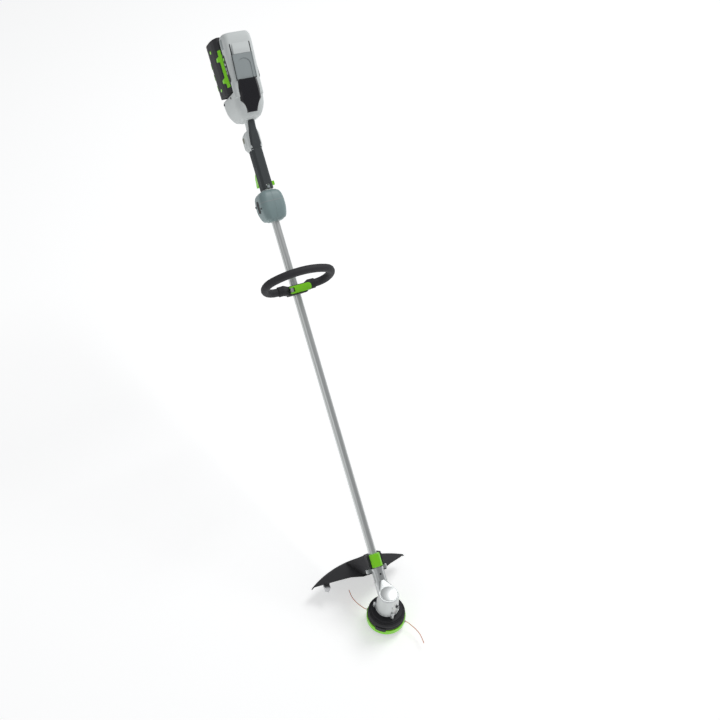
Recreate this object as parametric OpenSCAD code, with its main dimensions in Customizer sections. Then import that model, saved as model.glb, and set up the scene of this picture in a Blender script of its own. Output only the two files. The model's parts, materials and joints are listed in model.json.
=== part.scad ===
// Cordless string trimmer with a straight shaft, a loop front handle and a bump-feed head.
// The head spins about Z and its bump knob rests on the ground at the origin. The shaft rises
// towards +Y. Everything on the shaft is drawn in the shaft frame: x sideways (towards -X of the
// part), y square to the shaft and up, z along the shaft from the bevel gears to the user.

/* [Shaft] */
// Angle between the head's spin axis and the shaft
shaft_angle = 52; // [48:0.5:56]
// Height above the ground at which the shaft's axis meets the spin axis
apex_height = 97; // [94:1:100]
// Distance from the bevel gears' common point to the motor housing's front face
shaft_reach = 1208; // [950:1:1460]
// Outer diameter of the shaft tube
tube_d = 25.4; // [21:0.1:30.5]
// Wall of the shaft tube
tube_wall = 1.5; // [1.2:0.1:2]
// Diameter of the steel drive shaft inside the tube
drive_d = 8; // [6.5:0.1:9.6]
// Number of bushes that carry the drive shaft in the tube
bush_count = 5; // [3:1:7]

/* [Trimmer head] */
// Outer diameter of the head's base ring
head_d = 120; // [100:1:144]
// Height of the bottom of the base ring above the ground
head_clearance = 9; // [8:0.5:10]
// Height of the base ring
base_h = 29; // [26:0.5:31]
// Travel of the bump knob
bump_travel = 5; // [4:0.5:6]
// Diameter of the cutting line
line_d = 2.4; // [2:0.1:2.9]

/* [Guard] */
// Radius of the guard's outer edge
guard_r = 300; // [290:1:330]
// Sideways offset of the guard's centre, towards the longer wing
guard_offset = 18; // [12:1:24]
// Wall of the guard
guard_wall = 2.6; // [2:0.1:3.2]

/* [Loop handle] */
// Distance from the gears' common point to the middle of the loop handle's clamp
loop_at = 990; // [830:1:1080]
// Outer width of the loop
loop_width = 236; // [210:1:290]
// Height of the loop's top above the shaft's axis
loop_height = 136; // [124:1:160]
// Diameter of the loop's grip
loop_grip_d = 25; // [21:0.5:30]
// Lean of the loop towards the user
loop_lean = 20; // [10:1:30]

/* [Rear handle] */
// Angle by which the motor, handle and battery unit is turned on the tube
rear_turn = 6; // [0:0.5:12]
// Half width of the moulded handle under its rubber
handle_half_w = 14.6; // [13.6:0.1:17.5]
// Thickness of the rubber on the handle
rubber = 2.6; // [2:0.1:3]

/* [Rear housing and battery] */
// Length of the battery pack
battery_l = 170; // [150:1:220]
// Width of the battery pack
battery_w = 114; // [110:1:144]
// Height of the housing's top above the shaft's axis, at its rear
housing_top = 126; // [120:1:134]
// Angle at which the housing's top climbs towards the user
deck_angle = 11; // [9:0.5:13]
// Wall of the moulded housings
shell = 3; // [2.4:0.1:3.4]

/* [Hidden] */
$fn = 64;

fit = 0.05;          // radial gap of a shaft in its bearing or bore
gap = 0.4;           // gap between pieces that move past each other
tube_r = tube_d / 2;
tube_bore = tube_r - tube_wall;
drive_r = drive_d / 2;
spindle_r = 7.5;

// Head stations, heights above the ground
base_r = head_d / 2;
cover_r = base_r - 3.2;
base_floor = head_clearance + 7;
base_top = head_clearance + base_h;
cover_top = 70;
line_z = base_top - 9;
eyelet_angle = 138;
knob_r = 26;
stem_r = 10;
spool_low = base_floor + 6;
spool_high = base_top + 8;
hub_low = spool_high + bump_travel + 2;

// Gearcase stations, heights above the ground
case_low = apex_height - 17;
case_top = apex_height + 60;
case_r_low = 35;
case_r_top = 29;
case_cavity_r = 25;
lower_bearing_h = 9;
upper_bearing_low = case_top - 15;

// Bevel gears, cones with their points at the common point
pinion_teeth = 11;
gear_teeth = 18;
cone_length = 40;
face_width = 12;
pinion_cone = atan(sin(shaft_angle) / (gear_teeth / pinion_teeth + cos(shaft_angle)));
gear_cone = shaft_angle - pinion_cone;
tooth_module = 2 * cone_length * sin(pinion_cone) / pinion_teeth;

// Stations along the shaft, from the gears' common point
tube_start = 70;
socket_end = 116;
guard_start = 118;
motor_front = shaft_reach;
motor_length = 94;
motor_rear = motor_front + motor_length;
tube_end = motor_front + 14;
coupler_start = tube_end + 3;
mount_start = coupler_start + 20;
handle_end = motor_rear + 188;
knuckle_start = motor_rear + 132;
neck_end = handle_end + 30;
housing_start = neck_end - 2;
bay_start = housing_start + 80;
battery_start = bay_start + 2;
housing_end = battery_start + battery_l - 4;

// Gearcase arm
arm_r = tube_r + 5.3;
pinion_bearing_r = 13;
ear_x = arm_r + 9;
ear_y = -9;
ear_r = 7;

module shaft_frame() {
  translate([0, 0, apex_height]) rotate([-shaft_angle, 0, 0]) rotate([0, 0, 180]) children();
}

// The shaft frame of the motor, handle, housing and battery, which sit turned on the tube.
module rear_frame() {
  shaft_frame() rotate([0, 0, rear_turn]) children();
}

// An eight-sided section with cut corners, from y0 to y1 and w each way.
module section(w, y0, y1, cut) {
  polygon([[-w + cut, y0], [w - cut, y0], [w, y0 + cut], [w, y1 - cut],
           [w - cut, y1], [-w + cut, y1], [-w, y1 - cut], [-w, y0 + cut]]);
}

module slab(z, w, y0, y1, cut) {
  translate([0, 0, z]) linear_extrude(0.2) section(w, y0, y1, cut);
}

// The side of a split shell: 1 keeps x above 0, -1 keeps x below 0.
module half(side) {
  translate([side > 0 ? 0 : -400, -400, -100]) cube([400, 800, 3000]);
}

module ring(outer, inner, low, high) {
  translate([0, 0, low]) difference() {
    cylinder(r = outer, h = high - low);
    translate([0, 0, -1]) cylinder(r = inner, h = high - low + 2);
  }
}

// A round bar swept along points, as one closed mesh.
function unit(v) = v / norm(v);
function tangent(p, i) = unit(p[min(i + 1, len(p) - 1)] - p[max(i - 1, 0)]);
function side_of(t) = unit(cross(t, abs(t[2]) > 0.9 ? [1, 0, 0] : [0, 0, 1]));
module sweep(points, r, sides = 8) {
  n = len(points);
  rings = [for (i = [0:n - 1]) let (t = tangent(points, i), a = side_of(t), b = cross(t, a))
           for (k = [0:sides - 1])
             points[i] + r * (cos(360 * k / sides) * a + sin(360 * k / sides) * b)];
  walls = [for (i = [0:n - 2], k = [0:sides - 1]) let (j = (k + 1) % sides)
           [i * sides + k, i * sides + j, (i + 1) * sides + j, (i + 1) * sides + k]];
  first_end = [for (k = [sides - 1:-1:0]) k];
  last_end = [for (k = [0:sides - 1]) (n - 1) * sides + k];
  polyhedron(rings, concat([first_end], walls, [last_end]), convexity = 6);
}

// A smooth route through hand-placed points.
function smooth_at(p, i, u) =
  let (a = p[max(i - 1, 0)], b = p[i], c = p[i + 1], d = p[min(i + 2, len(p) - 1)])
  0.5 * (2 * b + (c - a) * u + (2 * a - 5 * b + 4 * c - d) * u * u + (3 * b - a - 3 * c + d) * u * u * u);
function smooth_route(p, steps) = concat(
  [for (i = [0:len(p) - 2], s = [0:steps - 1]) smooth_at(p, i, s / steps)], [p[len(p) - 1]]);

// ---------------------------------------------------------------- trimmer head

module bump_knob() {
  color("#1b1d1f") rotate_extrude() polygon([
    [0, 0], [17, 0], [21, 1.2], [24.5, 4.2], [knob_r, 8], [knob_r, head_clearance + 4],
    [stem_r, head_clearance + 4], [stem_r, spool_high - 2], [0, spool_high - 2]]);
}

module spool() {
  flange_r = cover_r - 6.8;
  color("#2a2d30") difference() {
    union() {
      ring(flange_r, stem_r + fit, spool_low, spool_low + 2.5);
      ring(flange_r, stem_r + fit, spool_high - 2.5, spool_high);
      ring(24, stem_r + fit, spool_low, spool_high);
    }
    for (a = [0:45:315]) rotate([0, 0, a])
      translate([0, flange_r - 8, spool_low - 1]) cylinder(r = 4, h = 4.5);
  }
}

module wound_line() {
  low = spool_low + 2.6;
  high = spool_high - 2.6;
  turns = 6;
  pitch = (high - low) / turns;
  color("#e8623a") rotate_extrude() union() {
    translate([24.1, low]) square([16, high - low]);
    for (i = [0:turns - 1])
      translate([39.8, low + pitch * (i + 0.5)]) circle(r = pitch / 2 - 0.02, $fn = 24);
  }
}

module bump_spring() {
  wire = 0.9;
  low = spool_high + wire + 0.05;
  high = hub_low - wire - 0.05;
  turns = 3;
  steps = 16 * turns;
  coil_r = 13;
  color("#b9bec2") sweep([for (i = [0:steps]) let (a = 360 * turns * i / steps)
    [coil_r * cos(a), coil_r * sin(a), low + (high - low) * i / steps]], wire, 6);
}

module base_rim() {
  color("#17191b") rotate_extrude() polygon([
    [knob_r + gap, head_clearance], [cover_r - 8, head_clearance], [cover_r - 1, head_clearance + 4],
    [cover_r, base_floor], [knob_r + gap, base_floor]]);
}

module head_base() {
  color("#7be012") difference() {
    rotate_extrude() polygon([
      [knob_r + gap + 1, base_floor], [base_r - 3, base_floor], [base_r, base_floor + 3],
      [base_r, base_top - 1.5], [base_r - 1, base_top], [base_r - 3, base_top],
      [base_r - 3, base_floor + 3], [knob_r + gap + 1, base_floor + 3]]);
    for (a = [eyelet_angle + 90, eyelet_angle - 90]) rotate([0, 0, a])
      translate([base_r - 8, -17, base_top - 6]) cube([12, 34, 10]);
    eyelet_holes();
  }
}

module head_cover() {
  color("#1d2022") difference() {
    union() {
      rotate_extrude() polygon([
        [spindle_r + fit, hub_low], [17, hub_low], [17, cover_top - 4], [42, cover_top - 4],
        [44, cover_top - 8],
        [cover_r - 5, base_top + 19], [cover_r - 2.8, base_top + 15], [cover_r - 2.8, base_floor + 10],
        [cover_r - 0.3, base_floor + 10], [cover_r - 0.3, base_top + 1], [cover_r + 0.2, base_top + 2],
        [cover_r + 0.2, base_top + 9], [cover_r - 1.4, base_top + 10], [cover_r - 1.4, base_top + 12],
        [cover_r, base_top + 13], [cover_r, base_top + 18], [cover_r - 3, base_top + 22.5],
        [47, cover_top - 5],
        [47, cover_top - 1], [46, cover_top], [spindle_r + fit, cover_top]]);
      for (a = [eyelet_angle + 90, eyelet_angle - 90]) rotate([0, 0, a]) intersection() {
        ring(base_r - 0.3, cover_r - 0.6, base_top - 5.6, base_top + 9);
        translate([0, -16.5, 0]) cube([base_r + 5, 33, 100]);
      }
    }
    eyelet_holes();
  }
}

module eyelet_holes() {
  for (a = [eyelet_angle, eyelet_angle + 180]) rotate([0, 0, a])
    translate([cover_r - 10, 0, line_z]) rotate([0, 90, 0]) cylinder(r = 4.5 + fit, h = 20);
}

module line_eyelets() {
  color("#c9ced2") for (a = [eyelet_angle, eyelet_angle + 180]) rotate([0, 0, a]) translate([0, 0, line_z])
    rotate([0, 90, 0]) {
      translate([0, 0, base_r - 5]) cylinder(r = 4.5, h = 6);
      translate([0, 0, base_r + 1]) cylinder(r1 = 5.4, r2 = 4.2, h = 1.4);
    }
}

// Each free length of line leaves its eyelet's face and keeps the bend of the spool:
// distances outwards, sideways and down from the eyelet.
exit_r = base_r + 2.4;
line_bends = [[0, 0, 0], [7, 0, 0], [18, 4, 1], [36, 12, 2], [53, 23, 3], [65, 36, 4], [74, 48, 5]];
function turned(v, a) = [v[0] * cos(a) - v[1] * sin(a), v[0] * sin(a) + v[1] * cos(a), v[2]];
function line_route(a) = [for (b = line_bends) turned([exit_r + b[0], -b[1], line_z - b[2]], a)];

module cutting_line(a) {
  color("#e8623a") sweep(smooth_route(line_route(a), 4), line_d / 2, 8);
}

module line_left() { cutting_line(eyelet_angle); }
module line_right() { cutting_line(eyelet_angle + 180); }

// ---------------------------------------------------------------- gearcase

module spindle() {
  nut_low = hub_low - 3.5;
  color("#aeb4b8") translate([0, 0, nut_low]) union() {
    cylinder(r = spindle_r, h = upper_bearing_low + 8 - nut_low);
    cylinder(r = stem_r - 0.4, h = 3.3, $fn = 6);
  }
}

module spindle_collar() {
  color("#3b3f42") ring(20, spindle_r + fit, cover_top + 0.1, case_low - 3.6);
}

// A flat outline of a bevel gear's teeth on the plane of its large end.
module tooth_outline(teeth, pitch_r, phase) {
  add = 0.62 * tooth_module;
  root = pitch_r - 0.95 * tooth_module;
  step = 360 / teeth;
  polygon([for (i = [0:teeth - 1]) let (c = phase + i * step)
    for (p = [[root, -0.27], [pitch_r, -0.19], [pitch_r + add, -0.10],
              [pitch_r + add, 0.10], [pitch_r, 0.19], [root, 0.27]])
      p[0] * [cos(c + p[1] * step), sin(c + p[1] * step)]]);
}

// Teeth that taper towards the cones' point, which is at the origin.
module bevel_teeth(teeth, cone, phase) {
  far = cone_length * cos(cone);
  near = (cone_length - face_width) * cos(cone);
  pitch_r = cone_length * sin(cone);
  translate([0, 0, far]) mirror([0, 0, 1])
    linear_extrude(far - near, scale = near / far) tooth_outline(teeth, pitch_r, phase);
}

module bevel_gear() {
  far = cone_length * cos(gear_cone);
  root = cone_length * sin(gear_cone) - 0.95 * tooth_module;
  color("#8b9196") difference() {
    union() {
      translate([0, 0, apex_height]) bevel_teeth(gear_teeth, gear_cone, 90 + 180 / gear_teeth);
      translate([0, 0, apex_height + far]) cylinder(r = root, h = 3);
      translate([0, 0, apex_height + far])
        cylinder(r = 12, h = upper_bearing_low - apex_height - far - 0.2);
    }
    translate([0, 0, apex_height]) cylinder(r = spindle_r + fit, h = 80);
  }
}

module pinion() {
  far = cone_length * cos(pinion_cone);
  color("#8b9196") shaft_frame() difference() {
    union() {
      bevel_teeth(pinion_teeth, pinion_cone, 90);
      translate([0, 0, far]) cylinder(r = 10, h = 46 - far);
    }
    translate([0, 0, 10]) cylinder(r = drive_r + fit, h = 60);
  }
}

module spindle_bearings() {
  color("#c3c8cb") {
    ring(16, spindle_r + fit, case_low, case_low + lower_bearing_h);
    ring(14, spindle_r + fit, upper_bearing_low, upper_bearing_low + 8);
  }
}

module pinion_bearings() {
  color("#c3c8cb") shaft_frame() for (t = [46.3, 57]) ring(pinion_bearing_r, drive_r + fit, t, t + 9);
}

lug_r = case_r_low + 2.5;
lug_angles = [30, 150, 270];

module bearing_cap() {
  color("#6f767b") difference() {
    union() {
      ring(30, spindle_r + 2, case_low - 3, case_low - fit);
      for (a = lug_angles) rotate([0, 0, a]) translate([0, 0, case_low - 3]) {
        translate([lug_r - 9, -5, 0]) cube([9, 10, 3 - fit]);
        translate([lug_r, 0, 0]) cylinder(r = 5, h = 3 - fit);
      }
    }
    for (a = lug_angles) rotate([0, 0, a])
      translate([lug_r, 0, case_low - 4]) cylinder(r = 2.1, h = 6);
  }
}

module cap_screws() {
  color("#4a4f53") for (a = lug_angles) rotate([0, 0, a]) translate([lug_r, 0, case_low]) {
    translate([0, 0, -5.6]) cylinder(r = 3.6, h = 2.5);
    translate([0, 0, -3.4]) cylinder(r = 1.95, h = 14);
  }
}

module gearcase() {
  color("#b4bbbd") difference() {
    union() {
      translate([0, 0, case_low])
        cylinder(r1 = case_r_low, r2 = case_r_top + 2, h = case_top - case_low - 4);
      translate([0, 0, case_top - 4]) cylinder(r1 = case_r_top + 2, r2 = case_r_top, h = 4);
      shaft_frame() translate([0, 0, 14]) cylinder(r = arm_r + 2.5, h = 58);
      shaft_frame() translate([0, 0, 60]) cylinder(r = arm_r, h = socket_end - 60);
      shaft_frame() translate([0, 0, socket_end - 7]) cylinder(r = arm_r + 1.6, h = 7);
      // bridge from the top of the case to the arm
      hull() {
        translate([0, 0, case_top - 9]) cylinder(r = case_r_top - 1, h = 8.8, $fn = 32);
        shaft_frame() translate([0, 6, 66]) cylinder(r = 9, h = 14, $fn = 32);
      }
      // fin under the arm
      shaft_frame() rotate([0, -90, 0]) translate([20, -arm_r - 7, -2.5]) linear_extrude(5)
        polygon([[0, 12], [0, -14], [30, 0], [78, 4], [88, 12]]);
      for (a = lug_angles) rotate([0, 0, a]) {
        translate([lug_r, 0, case_low]) cylinder(r = 5, h = 13);
        translate([lug_r, 0, case_low + 13]) cylinder(r1 = 5, r2 = 1.5, h = 6);
        translate([case_r_low - 8, -1.5, case_low]) cube([7, 3, 45]);
      }
      shaft_frame() for (s = [-1, 1]) {
        translate([s * ear_x, ear_y, socket_end - 12]) cylinder(r = ear_r, h = 12);
        translate([s > 0 ? 8 : -ear_x, ear_y - 4, socket_end - 12]) cube([ear_x - 8, 8, 12]);
      }
      shaft_frame() translate([0, 8, socket_end - 20]) rotate([-90, 0, 0]) cylinder(r = 6, h = arm_r - 5.5);
    }
    translate([0, 0, case_low - 1]) cylinder(r = 16 + fit, h = lower_bearing_h + 1 + fit);
    translate([0, 0, case_low + lower_bearing_h])
      cylinder(r = case_cavity_r, h = upper_bearing_low - case_low - lower_bearing_h - 0.2);
    translate([0, 0, upper_bearing_low - 0.3]) cylinder(r = 14 + fit, h = 8.4 + fit);
    shaft_frame() translate([0, 0, 12]) cylinder(r = 16.5, h = 34.3);
    shaft_frame() translate([0, 0, 46]) cylinder(r = pinion_bearing_r + fit, h = tube_start - 46);
    shaft_frame() translate([0, 0, tube_start - 0.2]) cylinder(r = tube_r + fit, h = 60);
    for (a = lug_angles) rotate([0, 0, a])
      translate([lug_r, 0, case_low - 1]) cylinder(r = 2, h = 12);
    shaft_frame() for (s = [-1, 1])
      translate([s * ear_x, ear_y, socket_end - 16]) cylinder(r = 2.6, h = 20);
    shaft_frame() translate([0, 0, socket_end - 20]) rotate([-90, 0, 0]) cylinder(r = 3.05, h = 40);
    // slot that lets the socket close on the tube
    shaft_frame() translate([-1, -arm_r - 20, tube_start + 6]) cube([2, arm_r + 10, 60]);
    plug_frame() translate([0, 0, -4]) cylinder(r = plug_r + fit, h = 14);
  }
}

plug_r = 4;

// Places its children in the side of the gearcase, pointing outwards.
module plug_frame() {
  rotate([0, 0, -60]) translate([case_cavity_r + 1, 0, apex_height + 20]) rotate([0, 90, 0]) children();
}

module grease_plug() {
  color("#2c3033") plug_frame() {
    cylinder(r = plug_r, h = 8);
    translate([0, 0, 8]) cylinder(r = 5.5, h = 2.6, $fn = 6);
  }
}

module lock_screw() {
  wall = arm_r - tube_r;
  color("#3a3f43") shaft_frame() translate([0, tube_r + 0.2, socket_end - 20])
    rotate([-90, 0, 0]) difference() {
      cylinder(r = 3, h = wall + 1.6);
      translate([0, 0, wall - 0.4]) cylinder(r = 1.7, h = 4, $fn = 6);
    }
}

// ---------------------------------------------------------------- shaft

module shaft_tube() {
  color("#c4cac9") shaft_frame() ring(tube_r, tube_bore, tube_start, tube_end);
}

module drive_shaft() {
  color("#9aa0a3") shaft_frame() translate([0, 0, 28]) cylinder(r = drive_r, h = coupler_start + 9 - 28);
}

module tube_bushes() {
  first = tube_start + 60;
  step = (tube_end - 60 - first) / (bush_count - 1);
  color("#3f4447") shaft_frame() for (i = [0:bush_count - 1])
    ring(tube_bore - fit, drive_r + 0.1, first + i * step, first + i * step + 18);
}

// ---------------------------------------------------------------- guard

guard_roof_low = 62;
guard_roof_slope = 0.46;
guard_back_y = 208;
guard_centre_y = guard_back_y - guard_r;
guard_inner_r = guard_r - 98;
guard_length = 42;
wall_high = 9;
cover_half_w = 16;

function roof_z(r) = guard_roof_low + guard_roof_slope * (guard_r - 8 - r);

module guard_shell() {
  low = guard_inner_r;
  rotate_extrude($fn = 96) polygon([
    [low, roof_z(low)], [guard_r - 8, roof_z(guard_r - 8)], [guard_r - 2, roof_z(guard_r - 8) - 5],
    [guard_r, roof_z(guard_r - 8) - 16], [guard_r - guard_wall, roof_z(guard_r - 8) - 16],
    [guard_r - 2 - guard_wall, roof_z(guard_r - 8) - 6], [guard_r - 9, roof_z(guard_r - 8) - guard_wall],
    [low, roof_z(low) - guard_wall]]);
}

// Outline of the guard from above: two wings that reach forward to their tips.
module guard_plan() {
  polygon([[-30, 113], [-64, 130], [-127, 144], [-160, 152], [-187, 159], [-240, 330], [220, 330],
           [142, 164], [132, 166], [118, 155], [75, 137], [40, 118], [28, 113]]);
}

module guard_tower() {
  deep = -tube_r - 17;
  shaft_frame() translate([0, 0, guard_start]) linear_extrude(guard_length) difference() {
    union() {
      section(23, deep, 0, 5);
      translate([-23, -6]) square([46, wall_high + 6]);
    }
    translate([-cover_half_w - 0.1, 0]) square([2 * cover_half_w + 0.2, 40]);
  }
  hull() {
    shaft_frame() translate([-20, deep + 2, guard_start + 1.5]) cube([40, 5, guard_length - 3]);
    translate([-27, 118, roof_z(guard_inner_r + 10)]) cube([54, 3, 1]);
    translate([-50, 196, roof_z(guard_r - 14) - 0.5]) cube([84, 3, 1]);
  }
}

module guard() {
  color("#1f2325") difference() {
    union() {
      intersection() {
        translate([-guard_offset, guard_centre_y, 0]) guard_shell();
        linear_extrude(300) guard_plan();
      }
      guard_tower();
      // pad that the line cutter is screwed to
      intersection() {
        translate([cutter_x - 9, cutter_y, cutter_z + 2]) cube([18, 20, 20]);
        translate([-guard_offset, guard_centre_y, 0]) rotate_extrude($fn = 96) polygon([
          [guard_inner_r, 20], [guard_r - 2.2, 20], [guard_r - 4, roof_z(guard_r - 8) - 5],
          [guard_r - 9, roof_z(guard_r - 8) - 1], [guard_inner_r, roof_z(guard_inner_r) - 1]]);
      }
    }
    shaft_frame() translate([0, 0, 60]) cylinder(r = tube_r + fit, h = 200);
    shaft_frame() for (s = [-1, 1])
      translate([s * ear_x, ear_y, guard_start - 10]) cylinder(r = 2.2, h = 40);
    // the tower is open underneath
    hull() {
      shaft_frame() translate([-18, -tube_r - 14, guard_start + 4]) cube([36, 1, guard_length - 8]);
      translate([-22, 124, roof_z(guard_inner_r + 10) - 10]) cube([44, 3, 1]);
      translate([-44, 188, roof_z(guard_r - 14) - 10]) cube([72, 3, 1]);
    }
    guard_screw_holes(2.2);
    translate([cutter_x, cutter_y + 10, cutter_z - 1]) cylinder(r = 2, h = 12);
  }
}

cutter_x = -137;
cutter_y = 146;
cutter_z = 58;
guard_screws_at = [10, guard_length - 10];

module guard_screw_holes(r) {
  shaft_frame() for (s = [-1, 1], t = guard_screws_at)
    translate([s * 12, 4.5, guard_start + t]) rotate([0, s * 90, 0]) cylinder(r = r, h = 14);
}

module guard_cover() {
  color("#8cf00a") difference() {
    shaft_frame() translate([0, 0, guard_start + 1]) linear_extrude(guard_length - 2)
      section(cover_half_w, 0.2, tube_r + 8, 5);
    shaft_frame() translate([0, 0, 60]) cylinder(r = tube_r + fit, h = 200);
    guard_screw_holes(2);
  }
}

module guard_screws() {
  color("#4a4f53") {
    shaft_frame() for (s = [-1, 1], t = guard_screws_at)
      translate([s * 13.2, 4.5, guard_start + t]) rotate([0, s * 90, 0]) {
        cylinder(r = 1.9, h = 9.85);
        translate([0, 0, 9.85]) cylinder(r = 3.4, h = 2.2);
      }
    shaft_frame() for (s = [-1, 1]) translate([s * ear_x, ear_y, socket_end - 15.5]) {
      cylinder(r = 4.6, h = 3.2, $fn = 6);
      cylinder(r = 2.1, h = 17);
    }
    translate([cutter_x, cutter_y + 10, cutter_z - 2.2]) {
      cylinder(r = 3.6, h = 2.2);
      cylinder(r = 1.9, h = 12);
    }
  }
}

module line_cutter() {
  color("#aab0b3") difference() {
    union() {
      translate([cutter_x - 9, 0, cutter_z]) linear_extrude(2)
        polygon([[0, cutter_y + 20], [0, cutter_y - 14], [5, cutter_y - 24],
                 [18, cutter_y - 10], [18, cutter_y + 20]]);
      translate([cutter_x - 9, cutter_y - 13, cutter_z - 10]) cube([2, 24, 10.5]);
    }
    translate([cutter_x, cutter_y + 10, cutter_z - 1]) cylinder(r = 2, h = 4);
  }
}

// ---------------------------------------------------------------- loop handle

loop_end_r = 44;
loop_low = 18;
loop_grip_r = loop_grip_d / 2;
loop_end_x = loop_width / 2 - loop_end_r - loop_grip_r;
loop_top = loop_height - loop_grip_r;
// radius of the wide top arc that meets both end arcs
loop_arc_r = let (d = loop_top - loop_low - loop_end_r)
  (loop_end_x * loop_end_x + d * d - loop_end_r * loop_end_r) / (2 * (d - loop_end_r));
loop_arc_angle = asin(loop_end_x / (loop_arc_r - loop_end_r));

// The bar's centre line, from one bracket arm round the loop to the other, in steps of one arc.
loop_steps = 10;
function arc_points(c, r, from, to, n) =
  [for (i = [0:n]) let (a = from + (to - from) * i / n) [c[0] + r * cos(a), c[1] + r * sin(a), 0]];
function loop_side() = concat([[bracket_end, loop_low, 0]],
  arc_points([loop_end_x, loop_low + loop_end_r], loop_end_r, -90, 90 - loop_arc_angle, loop_steps));
function flipped(p) = [for (i = [len(p) - 1:-1:0]) [-p[i][0], p[i][1], 0]];
function loop_line() = concat(loop_side(),
  [for (i = [1:loop_steps - 1]) let (a = 90 - loop_arc_angle + 2 * loop_arc_angle * i / loop_steps)
    [loop_arc_r * cos(a), loop_top - loop_arc_r + loop_arc_r * sin(a), 0]],
  flipped(loop_side()));

module loop_frame() {
  shaft_frame() translate([0, 0, loop_at]) children();
}

module loop_plane() {
  loop_frame() rotate([loop_lean, 0, 0]) children();
}

clamp_half_l = 14;
bracket_half_w = 30;
bracket_end = bracket_half_w + 10;
sleeve_end = bracket_end + 18;
lever_low = tube_r + 21;
bolt_x = 21;
lever_pivot = [bolt_x, lever_low + 7];

module loop_grip() {
  color("#1b1e20") loop_plane() sweep(loop_line(), loop_grip_r, 24);
}

module loop_bracket() {
  color("#1b1e20") difference() {
    union() {
      loop_frame() translate([0, 0, -clamp_half_l]) linear_extrude(2 * clamp_half_l)
        section(bracket_half_w, 0.4, tube_r + 18, 5);
      for (s = [-1, 1]) hull() {
        loop_frame() translate([s * (bracket_half_w - 4), 15, -clamp_half_l + 2])
          linear_extrude(2 * clamp_half_l - 4) square([7, 26], center = true);
        loop_plane() translate([s * (bracket_end + 1), loop_low, 0]) rotate([0, 90, 0])
          cylinder(r = loop_grip_r + 3.2, h = 5, center = true, $fn = 32);
      }
      loop_plane() for (s = [-1, 1]) translate([s * (bracket_end + sleeve_end) / 2, loop_low, 0])
        rotate([0, 90, 0]) cylinder(r = loop_grip_r + 2.4, h = sleeve_end - bracket_end, center = true);
    }
    loop_frame() translate([0, 0, -60]) cylinder(r = tube_r + fit, h = 120);
    loop_frame() for (s = [-1, 1])
      translate([s * bolt_x, -10, 0]) rotate([-90, 0, 0]) cylinder(r = 3.2, h = 60);
    loop_plane() for (s = [-1, 1]) translate([s * (bracket_end - 0.1 + 30), loop_low, 0])
      rotate([0, 90, 0]) cylinder(r = loop_grip_r + fit, h = 60, center = true);
    loop_frame() translate([bolt_x - 6, tube_r + 10, -6]) cube([12, 20, 12]);
  }
}

module loop_jaw() {
  color("#1b1e20") loop_frame() difference() {
    translate([0, 0, -clamp_half_l + 1]) linear_extrude(2 * clamp_half_l - 2)
      section(bracket_half_w - 2, -tube_r - 8, -0.4, 7);
    translate([0, 0, -60]) cylinder(r = tube_r + fit, h = 120);
    for (s = [-1, 1]) translate([s * bolt_x, -40, 0]) rotate([-90, 0, 0]) {
      cylinder(r = 3.2, h = 60);
      cylinder(r = 5.6, h = 40 - tube_r - 3);
    }
  }
}

module clamp_bolts() {
  head = -tube_r - 6;
  color("#9aa0a3") loop_frame() for (s = [-1, 1])
    translate([s * bolt_x, head, 0]) rotate([-90, 0, 0]) {
      cylinder(r = 5.2, h = 3, $fn = 6);
      cylinder(r = 2.9, h = (s > 0 ? lever_pivot[1] - 4 : tube_r + 12) - head);
      if (s > 0) translate([0, 0, lever_pivot[1] - head]) rotate([90, 0, 0]) eye();
    }
}

module eye() {
  difference() {
    cylinder(r = 5.6, h = 12, center = true);
    cylinder(r = 3 + fit, h = 14, center = true);
  }
}

module quick_lever() {
  color("#8cf00a") loop_frame() difference() {
    intersection() {
      translate([0, 0, -11]) linear_extrude(22) polygon([
        [25, lever_low + 2], [27, lever_low + 6], [27, lever_low + 9], [23, lever_low + 12],
        [-34, lever_low + 12], [-40, lever_low + 9], [-42, lever_low + 5], [-41, lever_low + 2],
        [-38, lever_low], [20, lever_low]]);
      translate([0, 100, 0]) rotate([90, 0, 0]) linear_extrude(100) union() {
        translate([-30, -11]) square([100, 22]);
        translate([-30, 0]) circle(r = 11);
      }
    }
    translate([13, tube_r + 10, -6.6]) cube([20, 40, 13.2]);
    translate([lever_pivot[0], lever_pivot[1], -20]) cylinder(r = 3 + fit, h = 40);
  }
}

module lever_pin() {
  color("#c9ced2") loop_frame() translate([lever_pivot[0], lever_pivot[1], -10.8])
    cylinder(r = 3, h = 21.6);
}

// ---------------------------------------------------------------- motor

module motor_body(inset) {
  z0 = motor_front;
  hull() {
    slab(z0 + inset, 25 - inset, -15 + inset, 25 - inset, 9);
    slab(z0 + 10, 34 - inset, -28 + inset, 32 - inset, 11);
    slab(z0 + 36, 39.5 - inset, -38.5 + inset, 37.5 - inset, 12);
    slab(z0 + 64, 39.5 - inset, -38.5 + inset, 37.5 - inset, 12);
    slab(z0 + 82, 36 - inset, -36 + inset, 35 - inset, 12);
    slab(z0 + motor_length - 0.2 - inset, 27 - inset, -26 + inset, 29 - inset, 9);
  }
}

module motor_shell(side) {
  color("#b7bfc0") rear_frame() intersection() {
    difference() {
      motor_body(0);
      motor_body(shell);
      translate([0, 0, motor_front - 10]) cylinder(r = tube_r + fit, h = 40);
      translate([-11, -8, motor_rear - 10]) cube([22, 28, 20]);
    }
    half(side);
  }
}

module motor_shell_left() { motor_shell(1); }
module motor_shell_right() { motor_shell(-1); }

module motor_mount() {
  color("#8d9497") rear_frame() {
    ring(33, drive_r + 6, mount_start, mount_start + 3);
    ring(7.9, drive_r + fit, mount_start + 3, mount_start + 5.8);
  }
}

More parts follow.
